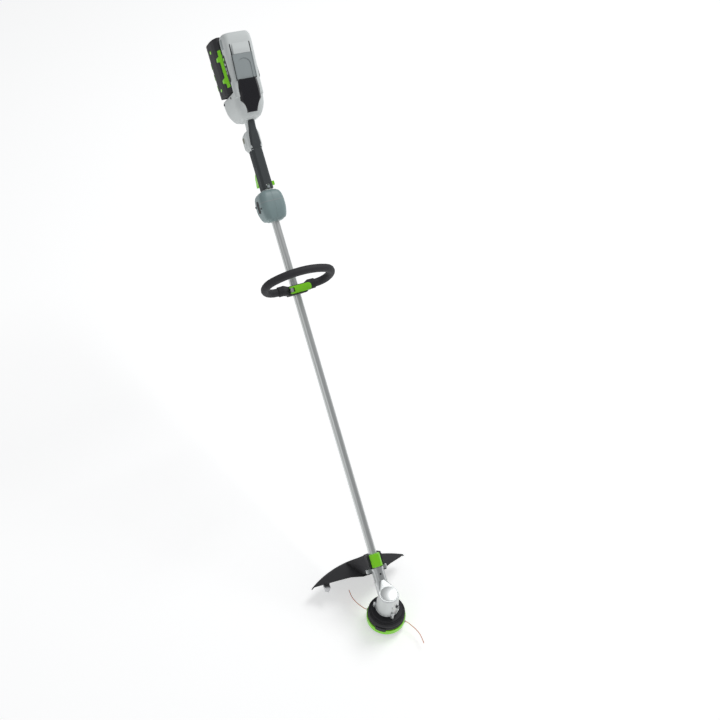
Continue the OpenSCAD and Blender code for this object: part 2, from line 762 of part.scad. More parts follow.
module motor_stator() {
  low = mount_start + 6;
  color("#b3622d") rear_frame() difference() {
    union() {
      ring(13, 8 + fit, low, low + 26);
      for (i = [0:11]) rotate([0, 0, 30 * i]) {
        translate([12, -1.8, low + 3]) cube([12.2, 3.6, 20]);
        translate([14.5, -2.9, low + 4]) cube([7, 5.8, 18]);
      }
      difference() {
        ring(24.6, 22.8, low + 3, low + 23);
        for (i = [0:11]) rotate([0, 0, 30 * i + 15]) translate([20, -1.2, low]) cube([8, 2.4, 30]);
      }
    }
  }
}

module motor_rotor() {
  low = mount_start + 5;
  color("#6b7073") rear_frame() {
    ring(32, 25.6, low, low + 30);
    ring(32, drive_r + fit, low + 30, low + 33);
  }
}

module motor_shaft() {
  color("#aeb4b8") rear_frame() {
    translate([0, 0, coupler_start + 9.2])
      cylinder(r = drive_r, h = mount_start + 46 - coupler_start - 9.2);
    ring(8.5, drive_r + fit, coupler_start, coupler_start + 18);
  }
}

module cooling_fan() {
  low = mount_start + 38.2;
  color("#2a2d30") rear_frame() {
    ring(26, drive_r + fit, low, low + 1.6);
    for (i = [0:10]) rotate([0, 0, i * 360 / 11]) translate([9, 0, low + 1.4])
      rotate([0, 0, 20]) cube([15, 1.4, 5.2]);
  }
}

// ---------------------------------------------------------------- rear handle

neck_low = 16;
neck_high = 44;
handle_low = -9;
handle_high = 25;
trigger_front = motor_rear + 22;
trigger_rear = motor_rear + 70;
trigger_half_w = 11;
trigger_pin_y = 0;
trigger_pin_z = trigger_rear - 7;
trigger_pin_r = 1.8;
lock_z = motor_rear + 12;
lock_y = 8;

module handle_body(grow, z0) {
  w = handle_half_w + grow;
  hull() {
    slab(z0, w, handle_low - grow, handle_high + grow, 7);
    slab(knuckle_start, w, handle_low - grow, handle_high + grow, 7);
  }
}

module knuckle_body(inset) {
  hull() {
    slab(knuckle_start - 12 + inset, handle_half_w - inset, handle_low + inset, handle_high - inset, 6);
    slab(knuckle_start + 8, 22 - inset, -25 + inset, 28 - inset, 7);
    slab(knuckle_start + 44, 21 - inset, -24 + inset, 32 - inset, 7);
    slab(handle_end - 0.2, 16 - inset, -8 + inset, 36 - inset, 7);
  }
}

module neck_body(inset) {
  hull() {
    slab(handle_end - 8, 13 - inset, 8 + inset, 36 - inset, 6);
    slab(neck_end, 14 - inset, neck_low + inset, neck_high - inset, 6);
  }
}

module handle_half(side) {
  color("#c2c9ca") rear_frame() intersection() {
    difference() {
      union() {
        handle_body(0, motor_rear + 0.1);
        knuckle_body(0);
        neck_body(0);
      }
      handle_body(-shell, motor_rear - 1);
      knuckle_body(shell);
      translate([-10, neck_low + 4, handle_end - 20]) cube([20, 16, 54]);
      // trigger slot, lock-off window and speed switch window
      translate([-trigger_half_w - gap, -60, trigger_front - 1])
        cube([2 * (trigger_half_w + gap), 60 + handle_low + shell + 10, 52]);
      translate([-40, lock_y - 0.4, lock_z + 0.6]) cube([40, 10.8, 13.8]);
      translate([-4.4, 15, motor_rear + 2.6]) cube([8.8, 30, 15]);
      trigger_pin(trigger_pin_r + fit, handle_half_w - 1.3);
    }
    half(side);
  }
}

module trigger_pin(r, half_l) {
  translate([-half_l, trigger_pin_y, trigger_pin_z]) rotate([0, 90, 0]) cylinder(r = r, h = 2 * half_l);
}

module handle_left() { handle_half(1); }
module handle_right() { handle_half(-1); }

module handle_rubber() {
  color("#26292b") rear_frame() difference() {
    union() {
      handle_body(rubber, motor_rear + 4);
      hull() {
        slab(knuckle_start - 2, handle_half_w + rubber, 6, handle_high + rubber, 6);
        slab(knuckle_start + 12, 17, 8, 32, 5);
        slab(knuckle_start + 44, 15, 10, 36, 5);
        slab(handle_end, 12, 12, 39, 4);
      }
      hull() {
        slab(handle_end - 1, 12, 24, 39, 4);
        slab(housing_start - 1.5, 10, 24, 46, 4);
      }
    }
    handle_body(0.02, motor_rear - 2);
    knuckle_body(-0.02);
    neck_body(-0.02);
    translate([-40, -100, knuckle_start - 1]) cube([80, 106, 100]);
    translate([-trigger_half_w - 1.4, -60, trigger_front - 3]) cube([2 * trigger_half_w + 2.8, 59, 56]);
    translate([-60, lock_y - 2, lock_z - 2]) cube([60, 14, 19]);
    translate([-6, 15, motor_rear]) cube([12, 30, 19]);
  }
}

module trigger() {
  rear = trigger_rear;
  front = trigger_front;
  color("#8cf00a") rear_frame() union() {
    translate([-trigger_half_w, 0, 0]) rotate([90, 0, 90]) linear_extrude(2 * trigger_half_w) polygon([
      [2, rear - 4], [-4, rear - 1], [-14, rear - 3], [-28, rear - 10], [-36, rear - 22], [-38, front + 14],
      [-42, front + 6], [-42, front], [-38, front], [-29, front + 5], [-16, front + 8], [-8, front + 10],
      [-8, rear - 15], [2, rear - 12]]);
    trigger_pin(trigger_pin_r, handle_half_w - 1.5);
  }
}

module trigger_switch() {
  color("#202326") rear_frame() translate([-6, -1.6, trigger_rear - 42]) cube([12, 13, 24]);
}

module lockoff_button() {
  x = handle_half_w + rubber;
  color("#8cf00a") rear_frame() union() {
    translate([-x - 9, lock_y + 0.5, lock_z + 1.2]) cube([9.4, 9, 12.6]);
    translate([-x, lock_y, lock_z + 1]) cube([x - 8, 10, 13]);
  }
}

module speed_switch() {
  color("#9aa3a6") rear_frame() translate([-4, handle_high - 6, motor_rear + 6]) cube([8, 11, 8]);
}

// ---------------------------------------------------------------- rear housing

bay_y = 74;
spine_half_w = 33;
spine_low = 12;
nose_low = -36;
side_w = 46;
rail_y = 30;
rail_w = 3.2;
rail_h = 5;
deck_rear = housing_end - 30;
function deck_y(z) = housing_top - (deck_rear - z) * tan(deck_angle);

module housing_upper(inset) {
  z1 = housing_end;
  hull() {
    slab(bay_start - 20, side_w - inset, bay_y + inset, deck_y(bay_start - 20) - inset, 10);
    slab(deck_rear, side_w - 0.3 - inset, bay_y + inset, housing_top - inset, 10);
    slab(z1 - 6, side_w - 3 - inset, bay_y + inset, housing_top - 2 - inset, 11);
    slab(z1 - 0.2 - inset, side_w - 11 - inset, bay_y + 5 + inset, housing_top - 9 - inset, 10);
  }
}

module housing_nose(inset) {
  z0 = housing_start;
  hull() {
    slab(z0 + inset, 22 - inset, -6 + inset, 50 - inset, 9);
    slab(z0 + 6, 33 - inset, -16 + inset, 66 - inset, 12);
    slab(z0 + 30, 44 - inset, nose_low + 6 + inset, deck_y(z0 + 30) - 4 - inset, 14);
    slab(z0 + 56, side_w + 1 - inset, nose_low + inset, deck_y(z0 + 56) - inset, 14);
    slab(bay_start - 0.2 - inset, side_w + 1 - inset, nose_low + 2 + inset, deck_y(bay_start) - inset, 12);
  }
}

// Slots in the housing's top for the cover and the release paddle.
paddle_start = bay_start + 27;
paddle_length = 60;
paddle_half_w = 19.5;
panel_half_w = 29;
panel_length = 74;
panel_end = paddle_start + panel_length;
panel_high = 6.6;
paddle_pin = [3.4, 5];
cover_front = housing_start + 14;
cover_rear = paddle_start - 0.6;

// Places its children on the sloping deck: x sideways, y out of the deck, z along it.
module deck_frame() {
  rear_frame() translate([0, deck_y(paddle_start), paddle_start]) rotate([-deck_angle, 0, 0]) children();
}

// The paddle's outline on the deck: straight sides and a round rear end.
module paddle_outline(grow, low, high) {
  translate([0, high, 0]) rotate([90, 0, 0]) linear_extrude(high - low) union() {
    translate([-paddle_half_w - grow, 1 - grow])
      square([2 * (paddle_half_w + grow), paddle_length - paddle_half_w - 1 + grow]);
    translate([0, paddle_length - paddle_half_w]) circle(r = paddle_half_w + grow);
  }
}

module housing_half(side) {
  color("#b7bfc0") intersection() {
    difference() {
      rear_frame() union() {
        housing_upper(0);
        housing_nose(0);
        translate([-spine_half_w, spine_low, bay_start - 2])
          cube([2 * spine_half_w, bay_y + 2 - spine_low, housing_end - bay_start - 8]);
        // rails that the battery slides on
        for (s = [0, 1]) mirror([s, 0, 0]) translate([spine_half_w - 0.5, rail_y, bay_start - 1])
          cube([rail_w + 0.5, rail_h, housing_end - bay_start - 20]);
        // ramp behind the panel
        hull() {
          translate([-panel_half_w, deck_y(panel_end) - 2, panel_end + 1])
            cube([2 * panel_half_w, panel_high + 1, 1]);
          translate([-panel_half_w + 4, deck_y(deck_rear - 8) - 2, deck_rear - 8])
            cube([2 * panel_half_w - 8, 2.4, 1]);
        }
      }
      rear_frame() {
        housing_upper(shell);
        housing_nose(shell);
        translate([-spine_half_w + shell, spine_low + shell, bay_start - 10])
          cube([2 * (spine_half_w - shell), bay_y + 4 - spine_low, housing_end - bay_start - 4]);
        top_cover_body(0.15);
        neck_body(-0.02);
      }
      // opening under the panel that the paddle dips into
      deck_frame() translate([-paddle_half_w - 0.8, -12, 0.4])
        cube([2 * paddle_half_w + 1.6, 32, paddle_length + 0.8]);
    }
    rear_frame() half(side);
  }
}

module housing_left() { housing_half(1); }
module housing_right() { housing_half(-1); }

// The cover's own outline: a long, faceted hood that narrows towards both ends.
module top_cover_body(grow) {
  z0 = cover_front;
  z1 = cover_rear;
  hull() {
    slab(z0 - grow, 20 + grow, 40, deck_y(z0) - 8 + grow, 8);
    slab(z0 + 34, 37 + grow, 50, deck_y(z0 + 34) + 2 + grow, 9);
    slab(z1 - 34, 34 + grow, 60, deck_y(z1 - 34) + 7 + grow, 8);
    slab(z1 - 0.4 + grow, panel_half_w + grow, 60, deck_y(z1) + 8 + grow, 6);
  }
}

module top_cover() {
  color("#0f1112") rear_frame() difference() {
    top_cover_body(0);
    top_cover_body(-shell);
    translate([-60, 0, housing_start - 10]) cube([120, 60, 200]);
    translate([-panel_half_w + 4, 0, cover_rear - 6])
      cube([2 * panel_half_w - 8, deck_y(cover_rear) + 3, 20]);
  }
}

module top_panel() {
  color("#8b9497") difference() {
    deck_frame() {
      translate([-panel_half_w, 0.15, 2]) cube([2 * panel_half_w, panel_high, panel_length - 2]);
      for (s = [0, 1]) mirror([s, 0, 0]) translate([panel_half_w - 0.1, 0.15, 2])
        cube([2, panel_high + 1.2, panel_length - 2]);
    }
    deck_frame() paddle_outline(0.5, -1, 20);
    deck_frame() translate([-22.8, paddle_pin[0], paddle_pin[1]]) rotate([0, 90, 0])
      cylinder(r = 1.5 + fit, h = 45.6);
  }
}

module release_paddle() {
  color("#7f888b") deck_frame() union() {
    paddle_outline(0, 2.2, 5.4);
    translate([-22.5, paddle_pin[0], paddle_pin[1]]) rotate([0, 90, 0]) cylinder(r = 1.5, h = 45);
    translate([-6, -4, paddle_length - 18]) cube([12, 6.4, 3]);
  }
}

module controller() {
  color("#2f6b3a") rear_frame() {
    translate([-30, bay_y + 6, bay_start + 34]) cube([60, 2, 96]);
    for (i = [0:9]) translate([-26 + i * 5.6, bay_y + 8, bay_start + 40]) cube([2, 7, 30]);
    translate([-24, bay_y + 8, bay_start + 90]) cube([20, 8, 14]);
    translate([6, bay_y + 8, bay_start + 86]) cube([16, 9, 18]);
  }
}

module side_plates() {
  color("#202326") rear_frame() for (s = [-1, 1]) {
    hull() for (z = [bay_start + 36, bay_start + 104])
      translate([s * (side_w + 0.05), bay_y + 14, z]) rotate([0, s * 90, 0])
        cylinder(r = 7.5, h = 1.2, $fn = 32);
    hull() for (z = [motor_front + 40, motor_front + 62])
      translate([s * (39.5 + 0.05), 1, z]) rotate([0, s * 90, 0]) cylinder(r = 8, h = 1, $fn = 32);
  }
}

module shell_screw(x, y, z) {
  translate([x, y, z]) rotate([0, 90, 0]) difference() {
    cylinder(r = 3, h = 2);
    translate([0, 0, 0.8]) cylinder(r = 1.5, h = 2, $fn = 6);
  }
}

module shell_screws() {
  color("#3a3f43") rear_frame() {
    shell_screw(39.55, 20, motor_front + 44);
    shell_screw(39.55, -20, motor_front + 56);
    shell_screw(side_w + 1.05, 56, bay_start - 10);
    shell_screw(side_w + 1.05, -12, bay_start - 10);
  }
}

// ---------------------------------------------------------------- battery

batt_low = -42;
arm_top = bay_y - 0.8;
arm_in = spine_half_w + 1.6;
arm_out = side_w - 0.6;
case_wall = 3;
tray_floor = 10;

module battery_outline(inset) {
  w = battery_w / 2 - inset;
  low = batt_low + inset;
  top = arm_top - inset;
  polygon([[-w, 12], [-w + 2, -4], [-w + 13, -28], [-w + 26, low], [w - 26, low], [w - 13, -28],
           [w - 2, -4], [w, 12], [w, 42], [w - 3, 58], [arm_out - inset, top],
           [-arm_out + inset, top], [-w + 3, 58], [-w, 42]]);
}

// Cuts the battery's corners at both ends, seen from the side.
module battery_ends(inset) {
  z0 = battery_start + inset;
  z1 = battery_start + battery_l - inset;
  rotate([90, 0, 90]) translate([0, 0, -200]) linear_extrude(400) polygon([
    [batt_low - 1, z0 + 30], [-22, z0 + 9], [6, z0], [44, z0], [200, z0 + 16], [200, z1 - 4],
    [60, z1], [-16, z1], [batt_low - 1, z1 - 24]]);
}

module battery_body(inset) {
  intersection() {
    translate([0, 0, battery_start]) linear_extrude(battery_l) battery_outline(inset);
    battery_ends(inset);
  }
}

// A wavy strip along the shoulder of each arm, cut as tall prisms from above.
module shoulder_strip(grow) {
  strip_l = battery_l - 56;
  for (s = [-1, 1]) {
    translate([s > 0 ? arm_out - 1.5 - grow : -battery_w / 2 + 6 - grow, 0, battery_start + 18 - grow])
      cube([battery_w / 2 - arm_out - 4.5 + 2 * grow, 200, strip_l + 2 * grow]);
    for (u = [0.2, 0.78]) translate([s * (arm_out + 2), 0, battery_start + 18 + u * strip_l])
      rotate([-90, 0, 0]) cylinder(r = 9.5 + grow, h = 200);
  }
}

module battery_case() {
  color("#191b1d") rear_frame() difference() {
    battery_body(0);
    intersection() {
      battery_body(case_wall);
      translate([-80, -80, 0]) cube([160, 80 + tray_floor - 4, 3000]);
    }
    translate([-arm_in, tray_floor - 6.5, battery_start - 1]) cube([2 * arm_in, 200, battery_l + 2]);
    // grooves for the rails
    for (s = [0, 1]) mirror([s, 0, 0]) translate([arm_in - 1, rail_y - 1, battery_start - 1])
      cube([rail_w + 0.4, rail_h + 2, battery_l + 2]);
    intersection() {
      battery_above(3);
      shoulder_strip(0);
    }
  }
}

// Everything within the given depth of the battery's upper surface.
module battery_above(depth) {
  difference() {
    translate([-100, 50, battery_start]) cube([200, 60, battery_l]);
    translate([0, -depth, battery_start - 1]) linear_extrude(battery_l + 2) battery_outline(0);
  }
}

module battery_frame() {
  color("#8cf00a") rear_frame() intersection() {
    battery_body(0);
    battery_above(2.9);
    shoulder_strip(-0.05);
  }
}

module battery_base() {
  color("#2a2d30") rear_frame() {
    intersection() {
      translate([-arm_in + fit, tray_floor - 6.4, battery_start + 4])
        cube([2 * (arm_in - fit), 4, battery_l - 8]);
      battery_ends(1);
    }
    for (x = [-18, -6, 6, 18]) translate([x - 1.5, tray_floor - 3, battery_start + 14]) cube([3, 4.6, 22]);
  }
}

cell_r = 9;

module battery_cells() {
  color("#3c6f8f") rear_frame() for (z = [battery_start + 31, battery_start + 89])
    for (p = [[0, -29], [18.4, -29], [-18.4, -29], [9.2, -11], [-9.2, -11], [27.6, -11], [-27.6, -11]])
      translate([p[0], p[1], z]) cylinder(r = cell_r, h = 57);
}

bump_knob();
spool();
wound_line();
bump_spring();
base_rim();
head_base();
head_cover();
line_eyelets();
line_left();
line_right();
spindle();
spindle_collar();
bevel_gear();
spindle_bearings();
bearing_cap();
cap_screws();
gearcase();
grease_plug();
lock_screw();
pinion();
pinion_bearings();
drive_shaft();
shaft_tube();
tube_bushes();
guard();
guard_cover();
guard_screws();
line_cutter();
loop_bracket();
loop_jaw();
loop_grip();
clamp_bolts();
quick_lever();
lever_pin();
motor_shell_left();
motor_shell_right();
motor_mount();
motor_stator();
motor_rotor();
motor_shaft();
cooling_fan();
handle_left();
handle_right();
handle_rubber();
trigger();
trigger_switch();
lockoff_button();
speed_switch();
housing_left();
housing_right();
top_cover();
top_panel();
release_paddle();
controller();
side_plates();
shell_screws();
battery_case();
battery_frame();
battery_base();
battery_cells();
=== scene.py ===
"""Looks of a cordless string trimmer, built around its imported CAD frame."""

import json
import logging
import math
from dataclasses import dataclass
from enum import Enum

import bmesh
import bpy
from mathutils import Matrix, Vector


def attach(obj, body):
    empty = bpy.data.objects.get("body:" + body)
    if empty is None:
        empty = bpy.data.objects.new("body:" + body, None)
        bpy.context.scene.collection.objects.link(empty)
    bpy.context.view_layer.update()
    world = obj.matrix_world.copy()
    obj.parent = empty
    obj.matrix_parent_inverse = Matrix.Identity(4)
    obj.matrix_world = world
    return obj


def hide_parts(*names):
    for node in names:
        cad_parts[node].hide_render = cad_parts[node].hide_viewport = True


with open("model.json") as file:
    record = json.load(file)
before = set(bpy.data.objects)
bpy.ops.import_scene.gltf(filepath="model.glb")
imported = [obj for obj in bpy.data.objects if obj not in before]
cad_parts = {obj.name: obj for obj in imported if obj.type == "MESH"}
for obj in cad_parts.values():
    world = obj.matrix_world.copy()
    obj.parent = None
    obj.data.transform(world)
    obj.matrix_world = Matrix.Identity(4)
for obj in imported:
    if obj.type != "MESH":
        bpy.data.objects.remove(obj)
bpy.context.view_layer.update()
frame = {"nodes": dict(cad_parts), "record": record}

logging.basicConfig(level=logging.INFO, format="%(message)s")
LOG = logging.getLogger("trimmer")

MM = 0.001
SLOTS = {part["node"]: part["material_slot"] for part in frame["record"]["subparts"]}


# ------------------------------------------------------------------ frames of reference

@dataclass(frozen=True)
class ShaftFrame:
    """The frame that everything on the shaft is drawn in: x sideways, y up, z along the shaft."""

    angle: float = 52.0
    apex: float = 97.0
    deck_tilt: float = 11.0
    deck_high: float = 126.0
    deck_rear: float = 1736.0
    paddle_start: float = 1625.0
    turn: float = 0.0

    def matrix(self) -> Matrix:
        """Millimetres on the shaft to metres in the row's frame."""
        s, c = math.sin(math.radians(self.angle)), math.cos(math.radians(self.angle))
        turn = Matrix(((-1, 0, 0, 0), (0, -c, s, 0), (0, s, c, self.apex), (0, 0, 0, 1)))
        return Matrix.Scale(MM, 4) @ turn @ Matrix.Rotation(math.radians(self.turn), 4, "Z")

    def deck_y(self, z: float) -> float:
        """Height of the housing's sloping top at a station along the shaft."""
        return self.deck_high - (self.deck_rear - z) * math.tan(math.radians(self.deck_tilt))

    def deck(self) -> Matrix:
        """Millimetres on the sloping deck to metres in the row's frame."""
        start = Matrix.Translation((0, self.deck_y(self.paddle_start), self.paddle_start))
        return self.matrix() @ start @ Matrix.Rotation(math.radians(-self.deck_tilt), 4, "X")


SHAFT = ShaftFrame()
REAR = ShaftFrame(turn=6.0)


# ------------------------------------------------------------------ shader node groups

class NodeBench:
    """A node tree with short helpers to place and join nodes."""

    def __init__(self, tree: bpy.types.NodeTree) -> None:
        """Keep the tree."""
        self.tree = tree

    def add(self, kind: str, **settings: object) -> bpy.types.Node:
        """Place a node and set its properties.

        Args:
            kind: The node's type name.
            **settings: Properties of the node.

        Returns:
            The new node.
        """
        node = self.tree.nodes.new(kind)
        for name, value in settings.items():
            setattr(node, name, value)
        return node

    def join(self, a: object, b: object) -> None:
        """Join an output to an input."""
        self.tree.links.new(a, b)

    def math(self, operation: str, a: object, b: object, clamp: bool = False) -> object:
        """A Math node of two inputs, each a socket or a number.

        Args:
            operation: Blender's name for it.
            a: First socket or number.
            b: Second socket or number.
            clamp: Keep the result from 0 to 1.

        Returns:
            The output socket.
        """
        node = self.add("ShaderNodeMath", operation=operation, use_clamp=clamp)
        for i, value in enumerate((a, b)):
            if isinstance(value, (int, float)):
                node.inputs[i].default_value = value
            else:
                self.join(value, node.inputs[i])
        return node.outputs[0]

    def noise(self, vector: object, scale: object, detail: float = 4.0) -> object:
        """A noise texture's value on a coordinate.

        Args:
            vector: Coordinate socket.
            scale: Socket or number.
            detail: Octaves.

        Returns:
            The Fac socket.
        """
        node = self.add("ShaderNodeTexNoise")
        node.inputs["Detail"].default_value = detail
        self.join(vector, node.inputs["Vector"])
        if isinstance(scale, (int, float)):
            node.inputs["Scale"].default_value = scale
        else:
            self.join(scale, node.inputs["Scale"])
        return node.outputs["Fac"]

    def mix(self, amount: object, a: object, b: object) -> object:
        """A colour between two others.

        Args:
            amount: Factor socket.
            a: Colour socket at 0.
            b: Colour socket at 1.

        Returns:
            The mixed colour socket.
        """
        node = self.add("ShaderNodeMix", data_type="RGBA")
        self.join(amount, node.inputs[0])
        self.join(a, node.inputs[6])
        self.join(b, node.inputs[7])
        return node.outputs[2]


def new_group(name: str, inputs: dict[str, tuple[str, float]], outputs: dict[str, str]) -> tuple:
    """Make an empty shader node group.

    Args:
        name: The group's name.
        inputs: Socket names with their kind and default.
        outputs: Socket names with their kind.

    Returns:
        The group, its bench, its input node and its output node.
    """
    tree = bpy.data.node_groups.new(name, "ShaderNodeTree")
    for label, (kind, default) in inputs.items():
        socket = tree.interface.new_socket(label, in_out="INPUT", socket_type=kind)
        if kind == "NodeSocketFloat":
            socket.default_value = default
    for label, kind in outputs.items():
        tree.interface.new_socket(label, in_out="OUTPUT", socket_type=kind)
    bench = NodeBench(tree)
    return tree, bench, bench.add("NodeGroupInput"), bench.add("NodeGroupOutput")


FLOAT, COLOR = "NodeSocketFloat", "NodeSocketColor"


def make_surface_group() -> bpy.types.NodeTree:
    """Fine spark-eroded grain with a slow drift of tone and gloss, for moulded parts."""
    tree, b, into, out = new_group(
        "moulded_surface",
        {"Color": (COLOR, 0), "Dark": (COLOR, 0), "Roughness": (FLOAT, 0.5),
         "Grain Scale": (FLOAT, 900), "Mottle": (FLOAT, 0.3)},
        {"Color": COLOR, "Roughness": FLOAT, "Height": FLOAT})
    where = b.add("ShaderNodeTexCoord").outputs["Object"]
    slow = b.noise(where, 14.0, 5.0)
    fine = b.noise(where, into.outputs["Grain Scale"], 3.0)
    drift = b.math("MULTIPLY", slow, into.outputs["Mottle"], True)
    b.join(b.mix(drift, into.outputs["Color"], into.outputs["Dark"]), out.inputs["Color"])
    shift = b.math("MULTIPLY", b.math("SUBTRACT", slow, 0.5), 0.22)
    b.join(b.math("ADD", into.outputs["Roughness"], shift, True), out.inputs["Roughness"])
    b.join(fine, out.inputs["Height"])
    return tree


def make_metal_group() -> bpy.types.NodeTree:
    """Drawn or turned metal: fine streaks along the shaft, with small blotches of tone."""
    tree, b, into, out = new_group(
        "drawn_metal",
        {"Color": (COLOR, 0), "Dark": (COLOR, 0), "Roughness": (FLOAT, 0.4),
         "Streak Scale": (FLOAT, 500), "Mottle": (FLOAT, 0.3)},
        {"Color": COLOR, "Roughness": FLOAT, "Height": FLOAT})
    where = b.add("ShaderNodeTexCoord").outputs["Object"]
    turn = b.add("ShaderNodeMapping")
    turn.inputs["Rotation"].default_value = (math.radians(52.0), 0, 0)
    turn.inputs["Scale"].default_value = (1.0, 1.0, 0.02)
    b.join(where, turn.inputs["Vector"])
    streak = b.noise(turn.outputs[0], into.outputs["Streak Scale"], 3.0)
    blotch = b.noise(where, 22.0, 4.0)
    tone = b.math("MULTIPLY", b.math("ADD", b.math("MULTIPLY", streak, 0.6), blotch),
                  into.outputs["Mottle"], True)
    b.join(b.mix(tone, into.outputs["Color"], into.outputs["Dark"]), out.inputs["Color"])
    shift = b.math("MULTIPLY", b.math("SUBTRACT", streak, 0.5), 0.25)
    b.join(b.math("ADD", into.outputs["Roughness"], shift, True), out.inputs["Roughness"])
    b.join(streak, out.inputs["Height"])
    return tree


def make_edge_highlight_group() -> bpy.types.NodeTree:
    """Painted edge highlight: edges lightened to another tone, broken up by noise."""
    tree, b, into, out = new_group(
        "painted_edge_highlight",
        {"Color": (COLOR, 0), "Painted Highlight": (COLOR, 0), "Radius": (FLOAT, 0.001), "Amount": (FLOAT, 0.4)},
        {"Color": COLOR, "Mask": FLOAT})
    rounded = b.add("ShaderNodeBevel", samples=4)
    b.join(into.outputs["Radius"], rounded.inputs["Radius"])
    flat = b.add("ShaderNodeNewGeometry").outputs["Normal"]
    dot = b.add("ShaderNodeVectorMath", operation="DOT_PRODUCT")
    b.join(rounded.outputs[0], dot.inputs[0])
    b.join(flat, dot.inputs[1])
    edge = b.math("MULTIPLY", b.math("SUBTRACT", 1.0, dot.outputs["Value"]), 6.0, True)
    where = b.add("ShaderNodeTexCoord").outputs["Object"]
    patch = b.math("MULTIPLY", b.noise(where, 90.0, 5.0), 1.5, True)
    # Mask of where the painted edge highlight lies.
    mask = b.math("MULTIPLY", b.math("MULTIPLY", edge, patch), into.outputs["Amount"], True)
    b.join(b.mix(mask, into.outputs["Color"], into.outputs["Painted Highlight"]), out.inputs["Color"])
    b.join(mask, out.inputs["Mask"])
    return tree


def make_scuff_group() -> bpy.types.NodeTree:
    """Sparse hairline scuffs that lift the roughness."""
    tree, b, into, out = new_group(
        "scuffs", {"Roughness": (FLOAT, 0.4), "Amount": (FLOAT, 0.2)}, {"Roughness": FLOAT})
    where = b.add("ShaderNodeTexCoord").outputs["Object"]
    turn = b.add("ShaderNodeMapping")
    turn.inputs["Rotation"].default_value = (0.4, 0.9, 0.3)
    turn.inputs["Scale"].default_value = (1.0, 14.0, 3.0)
    b.join(where, turn.inputs["Vector"])
    line = b.noise(turn.outputs[0], 60.0, 6.0)
    mark = b.math("MULTIPLY", b.math("SUBTRACT", line, 0.62), 6.0, True)
    lift = b.math("MULTIPLY", mark, into.outputs["Amount"])
    b.join(b.math("ADD", into.outputs["Roughness"], lift, True), out.inputs["Roughness"])
    return tree


SURFACE_GROUP = make_surface_group()
METAL_GROUP = make_metal_group()
EDGE_HIGHLIGHT_GROUP = make_edge_highlight_group()
SCUFF_GROUP = make_scuff_group()


# ------------------------------------------------------------------ finishes

class Surface(Enum):
    """Which node group gives a finish its grain."""

    MOULDED = "moulded"
    METAL = "metal"


@dataclass(frozen=True)
class Finish:
    """One finish: its tones, gloss, grain, painted edge highlight and how far its edges are rounded.
    """

    name: str
    color: tuple[float, float, float]
    dark: tuple[float, float, float]
    # highlight_tone and edge_highlight: the lighter tone and the amount of the painted edge highlight.
    highlight_tone: tuple[float, float, float]
    rough: float
    surface: Surface = Surface.MOULDED
    metallic: float = 0.0
    specular: float = 0.5
    coat: float = 0.0
    grain: float = 900.0
    depth: float = 0.00006
    mottle: float = 0.3
    rounding: float = 0.8
    edge_highlight: float = 0.35
    scuff: float = 0.15

    def build(self) -> bpy.types.Material:
        """Make the material, unless the file already holds one of this name.

        The frame brings in a plain material for each of the record's slots, so a finish
        with a slot's name gives that plain material and its own values don't show.

        Returns:
            The material of this name.
        """
        if self.name in bpy.data.materials:
            return bpy.data.materials[self.name]
        material = bpy.data.materials.new(self.name)
        material.use_nodes = True
        material.diffuse_color = (*self.color, 1)
        b = NodeBench(material.node_tree)
        shader = material.node_tree.nodes["Principled BSDF"]
        shader.inputs["Metallic"].default_value = self.metallic
        shader.inputs["Specular IOR Level"].default_value = self.specular
        shader.inputs["Coat Weight"].default_value = self.coat
        shader.inputs["Coat Roughness"].default_value = 0.08
        metal = self.surface is Surface.METAL
        grain = b.add("ShaderNodeGroup", node_tree=METAL_GROUP if metal else SURFACE_GROUP)
        grain.inputs["Color"].default_value = (*self.color, 1)
        grain.inputs["Dark"].default_value = (*self.dark, 1)
        grain.inputs["Roughness"].default_value = self.rough
        grain.inputs["Streak Scale" if metal else "Grain Scale"].default_value = self.grain
        grain.inputs["Mottle"].default_value = self.mottle
        # Painted edge highlight: edges are mixed towards the lighter highlight tone.
        edge_highlight = b.add("ShaderNodeGroup", node_tree=EDGE_HIGHLIGHT_GROUP)
        edge_highlight.inputs["Painted Highlight"].default_value = (*self.highlight_tone, 1)
        edge_highlight.inputs["Radius"].default_value = 1.2 * MM
        edge_highlight.inputs["Amount"].default_value = self.edge_highlight
        scuff = b.add("ShaderNodeGroup", node_tree=SCUFF_GROUP)
        scuff.inputs["Amount"].default_value = self.scuff
        b.join(grain.outputs["Color"], edge_highlight.inputs["Color"])
        b.join(edge_highlight.outputs["Color"], shader.inputs["Base Color"])
        b.join(grain.outputs["Roughness"], scuff.inputs["Roughness"])
        b.join(scuff.outputs["Roughness"], shader.inputs["Roughness"])
        rounded = b.add("ShaderNodeBevel", samples=4)
        rounded.inputs["Radius"].default_value = self.rounding * MM
        bump = b.add("ShaderNodeBump")
        bump.inputs["Strength"].default_value = 0.5
        bump.inputs["Distance"].default_value = self.depth
        b.join(grain.outputs["Height"], bump.inputs["Height"])
        b.join(rounded.outputs[0], bump.inputs["Normal"])
        b.join(bump.outputs[0], shader.inputs["Normal"])
        return material
